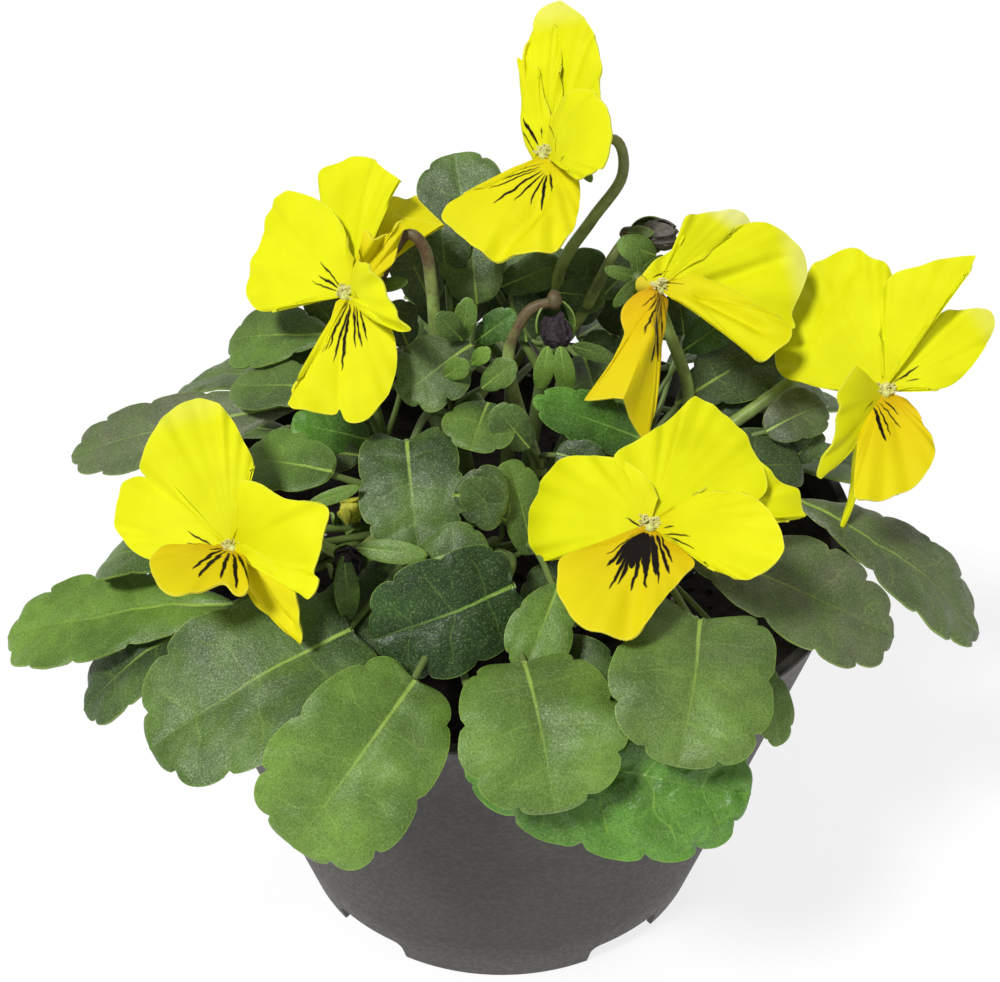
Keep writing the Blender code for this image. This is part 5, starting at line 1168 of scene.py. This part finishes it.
# Throat hairs: short cream bristles. Throat knob: the pale green stigma.
beard, where = blank("cream_throat_hairs")
spots = add_node(beard, "TexNoise", {"Vector": where, "Scale": 1 / (0.5 * MM)})
colour = add_node(beard, "Mix", {0: spots, 6: "#d6d27a", 7: "#e9e6b0"}, 2, **COLOURS)
dress(beard, Roughness=0.6, Base_Color=colour)
stigma_skin, where = blank("pale_green_stigma")
spots = add_node(stigma_skin, "TexNoise", {"Vector": where, "Scale": 1 / (0.8 * MM)})
colour = add_node(stigma_skin, "Mix", {0: spots, 6: "#bcc45a", 7: "#dade8e"}, 2, **COLOURS)
dress(stigma_skin, Roughness=0.4, Base_Color=colour)

for flower in FLOWERS:
    if flower.kind != "bloom":
        continue
    random.seed(flower.name)
    faces, lift = flower_axes(flower)
    throat = Vector(flower.place)
    across = lift.cross(faces)
    neck = [throat + faces * 0.2, throat - faces * 2, throat - faces * NECK_LENGTH]
    spur = [throat - faces * back - lift * down for back, down in ((2, 0.8), (5, 2.0), (8, 3.0))]
    parts = [
        tube_mesh(neck, (0.9, 1.1, 1.5), 1, count=8),
        tube_mesh(spur, (0.9, 0.9, 0.8), 1, count=10),
        knob_mesh(throat + faces * 0.9 - lift * 0.3, (0.7, 0.9), faces, 3, 0.05, 2),
    ]
    for number, petal in enumerate(PETALS[flower.name], 1):
        parts.append(petal_mesh(petal, throat, number, number + len(flower.name)))
    for turn in (-1, 1):
        for hair in range(HAIR_COUNT):
            base = throat + faces * 0.3 + across * turn * random.uniform(0.1, 1.3)
            base += lift * random.uniform(-0.4, 1.2)
            tip = base + faces * random.uniform(0.6, 1.4) - across * turn * random.uniform(-0.5, 0.7)
            tip += Vector((random.uniform(-0.4, 0.4), random.uniform(-0.4, 0.4), random.uniform(-0.4, 0.4)))
            parts.append(tube_mesh([base, base.lerp(tip, 0.5), tip], (0.25, 0.22, 0.1), 2, sides=4, count=3))
    show(flower.name + "_petals", gather(parts), flower.name,
         [petal_material(flower.name + "_petal_velvet", LINES[flower.name]), petal_back, beard, stigma_skin])

# Withered heads and buds. Spent petals shrivel into a crumpled dark wad in the cup, and a young bud shows
# its furled yellow tip between the sepals.
# How far each head's folds stand out round its middle.
HEAD_SPREAD = {"withered_head_centre": 2.4, "withered_head_left": 2.2, "faded_bud": 2.4, "yellow_bud": 2.4}
spent, where = blank("shrivelled_petal_skin")
_, faded, _, _ = read(spent, "tone")
fibre = add_node(spent, "TexNoise", {"Vector": where, "Scale": 1 / (0.9 * MM), "Detail": 4.0,
                                     "Roughness": 0.7})
share = add_node(spent, "MapRange", {0: fibre, 1: 0.35, 2: 0.65}, **SMOOTH)
colour = add_node(spent, "Mix", {0: share, 6: "#150e12", 7: "#3c2e37"}, 2, **COLOURS)
share = add_node(spent, "Math", {0: faded, 1: fibre}, operation="MULTIPLY")
colour = add_node(spent, "Mix", {0: share, 6: colour, 7: "#8a8478"}, 2, **COLOURS)
wrinkles = add_node(spent, "TexNoise", {"Vector": where, "Scale": 1 / (0.7 * MM), "Detail": 4.0,
                                        "Roughness": 0.7})
relief = add_node(spent, "Bump", {"Height": wrinkles, "Distance": 0.5 * MM})
dress(spent, Roughness=0.7, Base_Color=colour, Normal=relief)
furled, where = blank("furled_bud_petal")
spots = add_node(furled, "TexNoise", {"Vector": where, "Scale": 1 / (3 * MM)})
share = add_node(furled, "MapRange", {0: spots, 1: 0.3, 2: 0.7}, **SMOOTH)
colour = add_node(furled, "Mix", {0: share, 6: "#8f9a34", 7: "#cfc93a"}, 2, **COLOURS)
dress(furled, Roughness=0.55, Base_Color=colour)
for flower in FLOWERS:
    if flower.kind == "bloom":
        continue
    random.seed(flower.name)
    faces, lift = flower_axes(flower)
    centre = Vector(flower.place)
    width = HEAD_SPREAD[flower.name]
    is_bud = flower.kind == "bud"
    faded = 0.9 if flower.name == "faded_bud" else 0.0
    parts = [knob_mesh(centre, (width * 0.75, flower.half * 0.85), faces, 0, 0.1 if is_bud else 0.6, 4,
                       len(flower.name), (faded, 0.0))]
    fold_count = 3 if is_bud else 8
    for fold in range(fold_count):
        out = Matrix.Rotation(math.tau * fold / fold_count, 3, faces) @ lift
        root = centre - faces * flower.half * 0.8 + out * width * 0.35
        tip = centre + faces * flower.half * random.uniform(0.7, 1.05)
        tip += out * width * random.uniform(0.1, 0.8)
        scrap = Leaf(root, tip, width * random.uniform(0.9, 1.3), out, "sepal", 1.0, faded, 0.0)
        parts.append(leaf_mesh(scrap, fold + 1, SEPAL_THICK, 16, 10))
    mesh = gather(parts)
    show(flower.name + "_folds", mesh, flower.name,
         [furled if is_bud else spent] * 2)
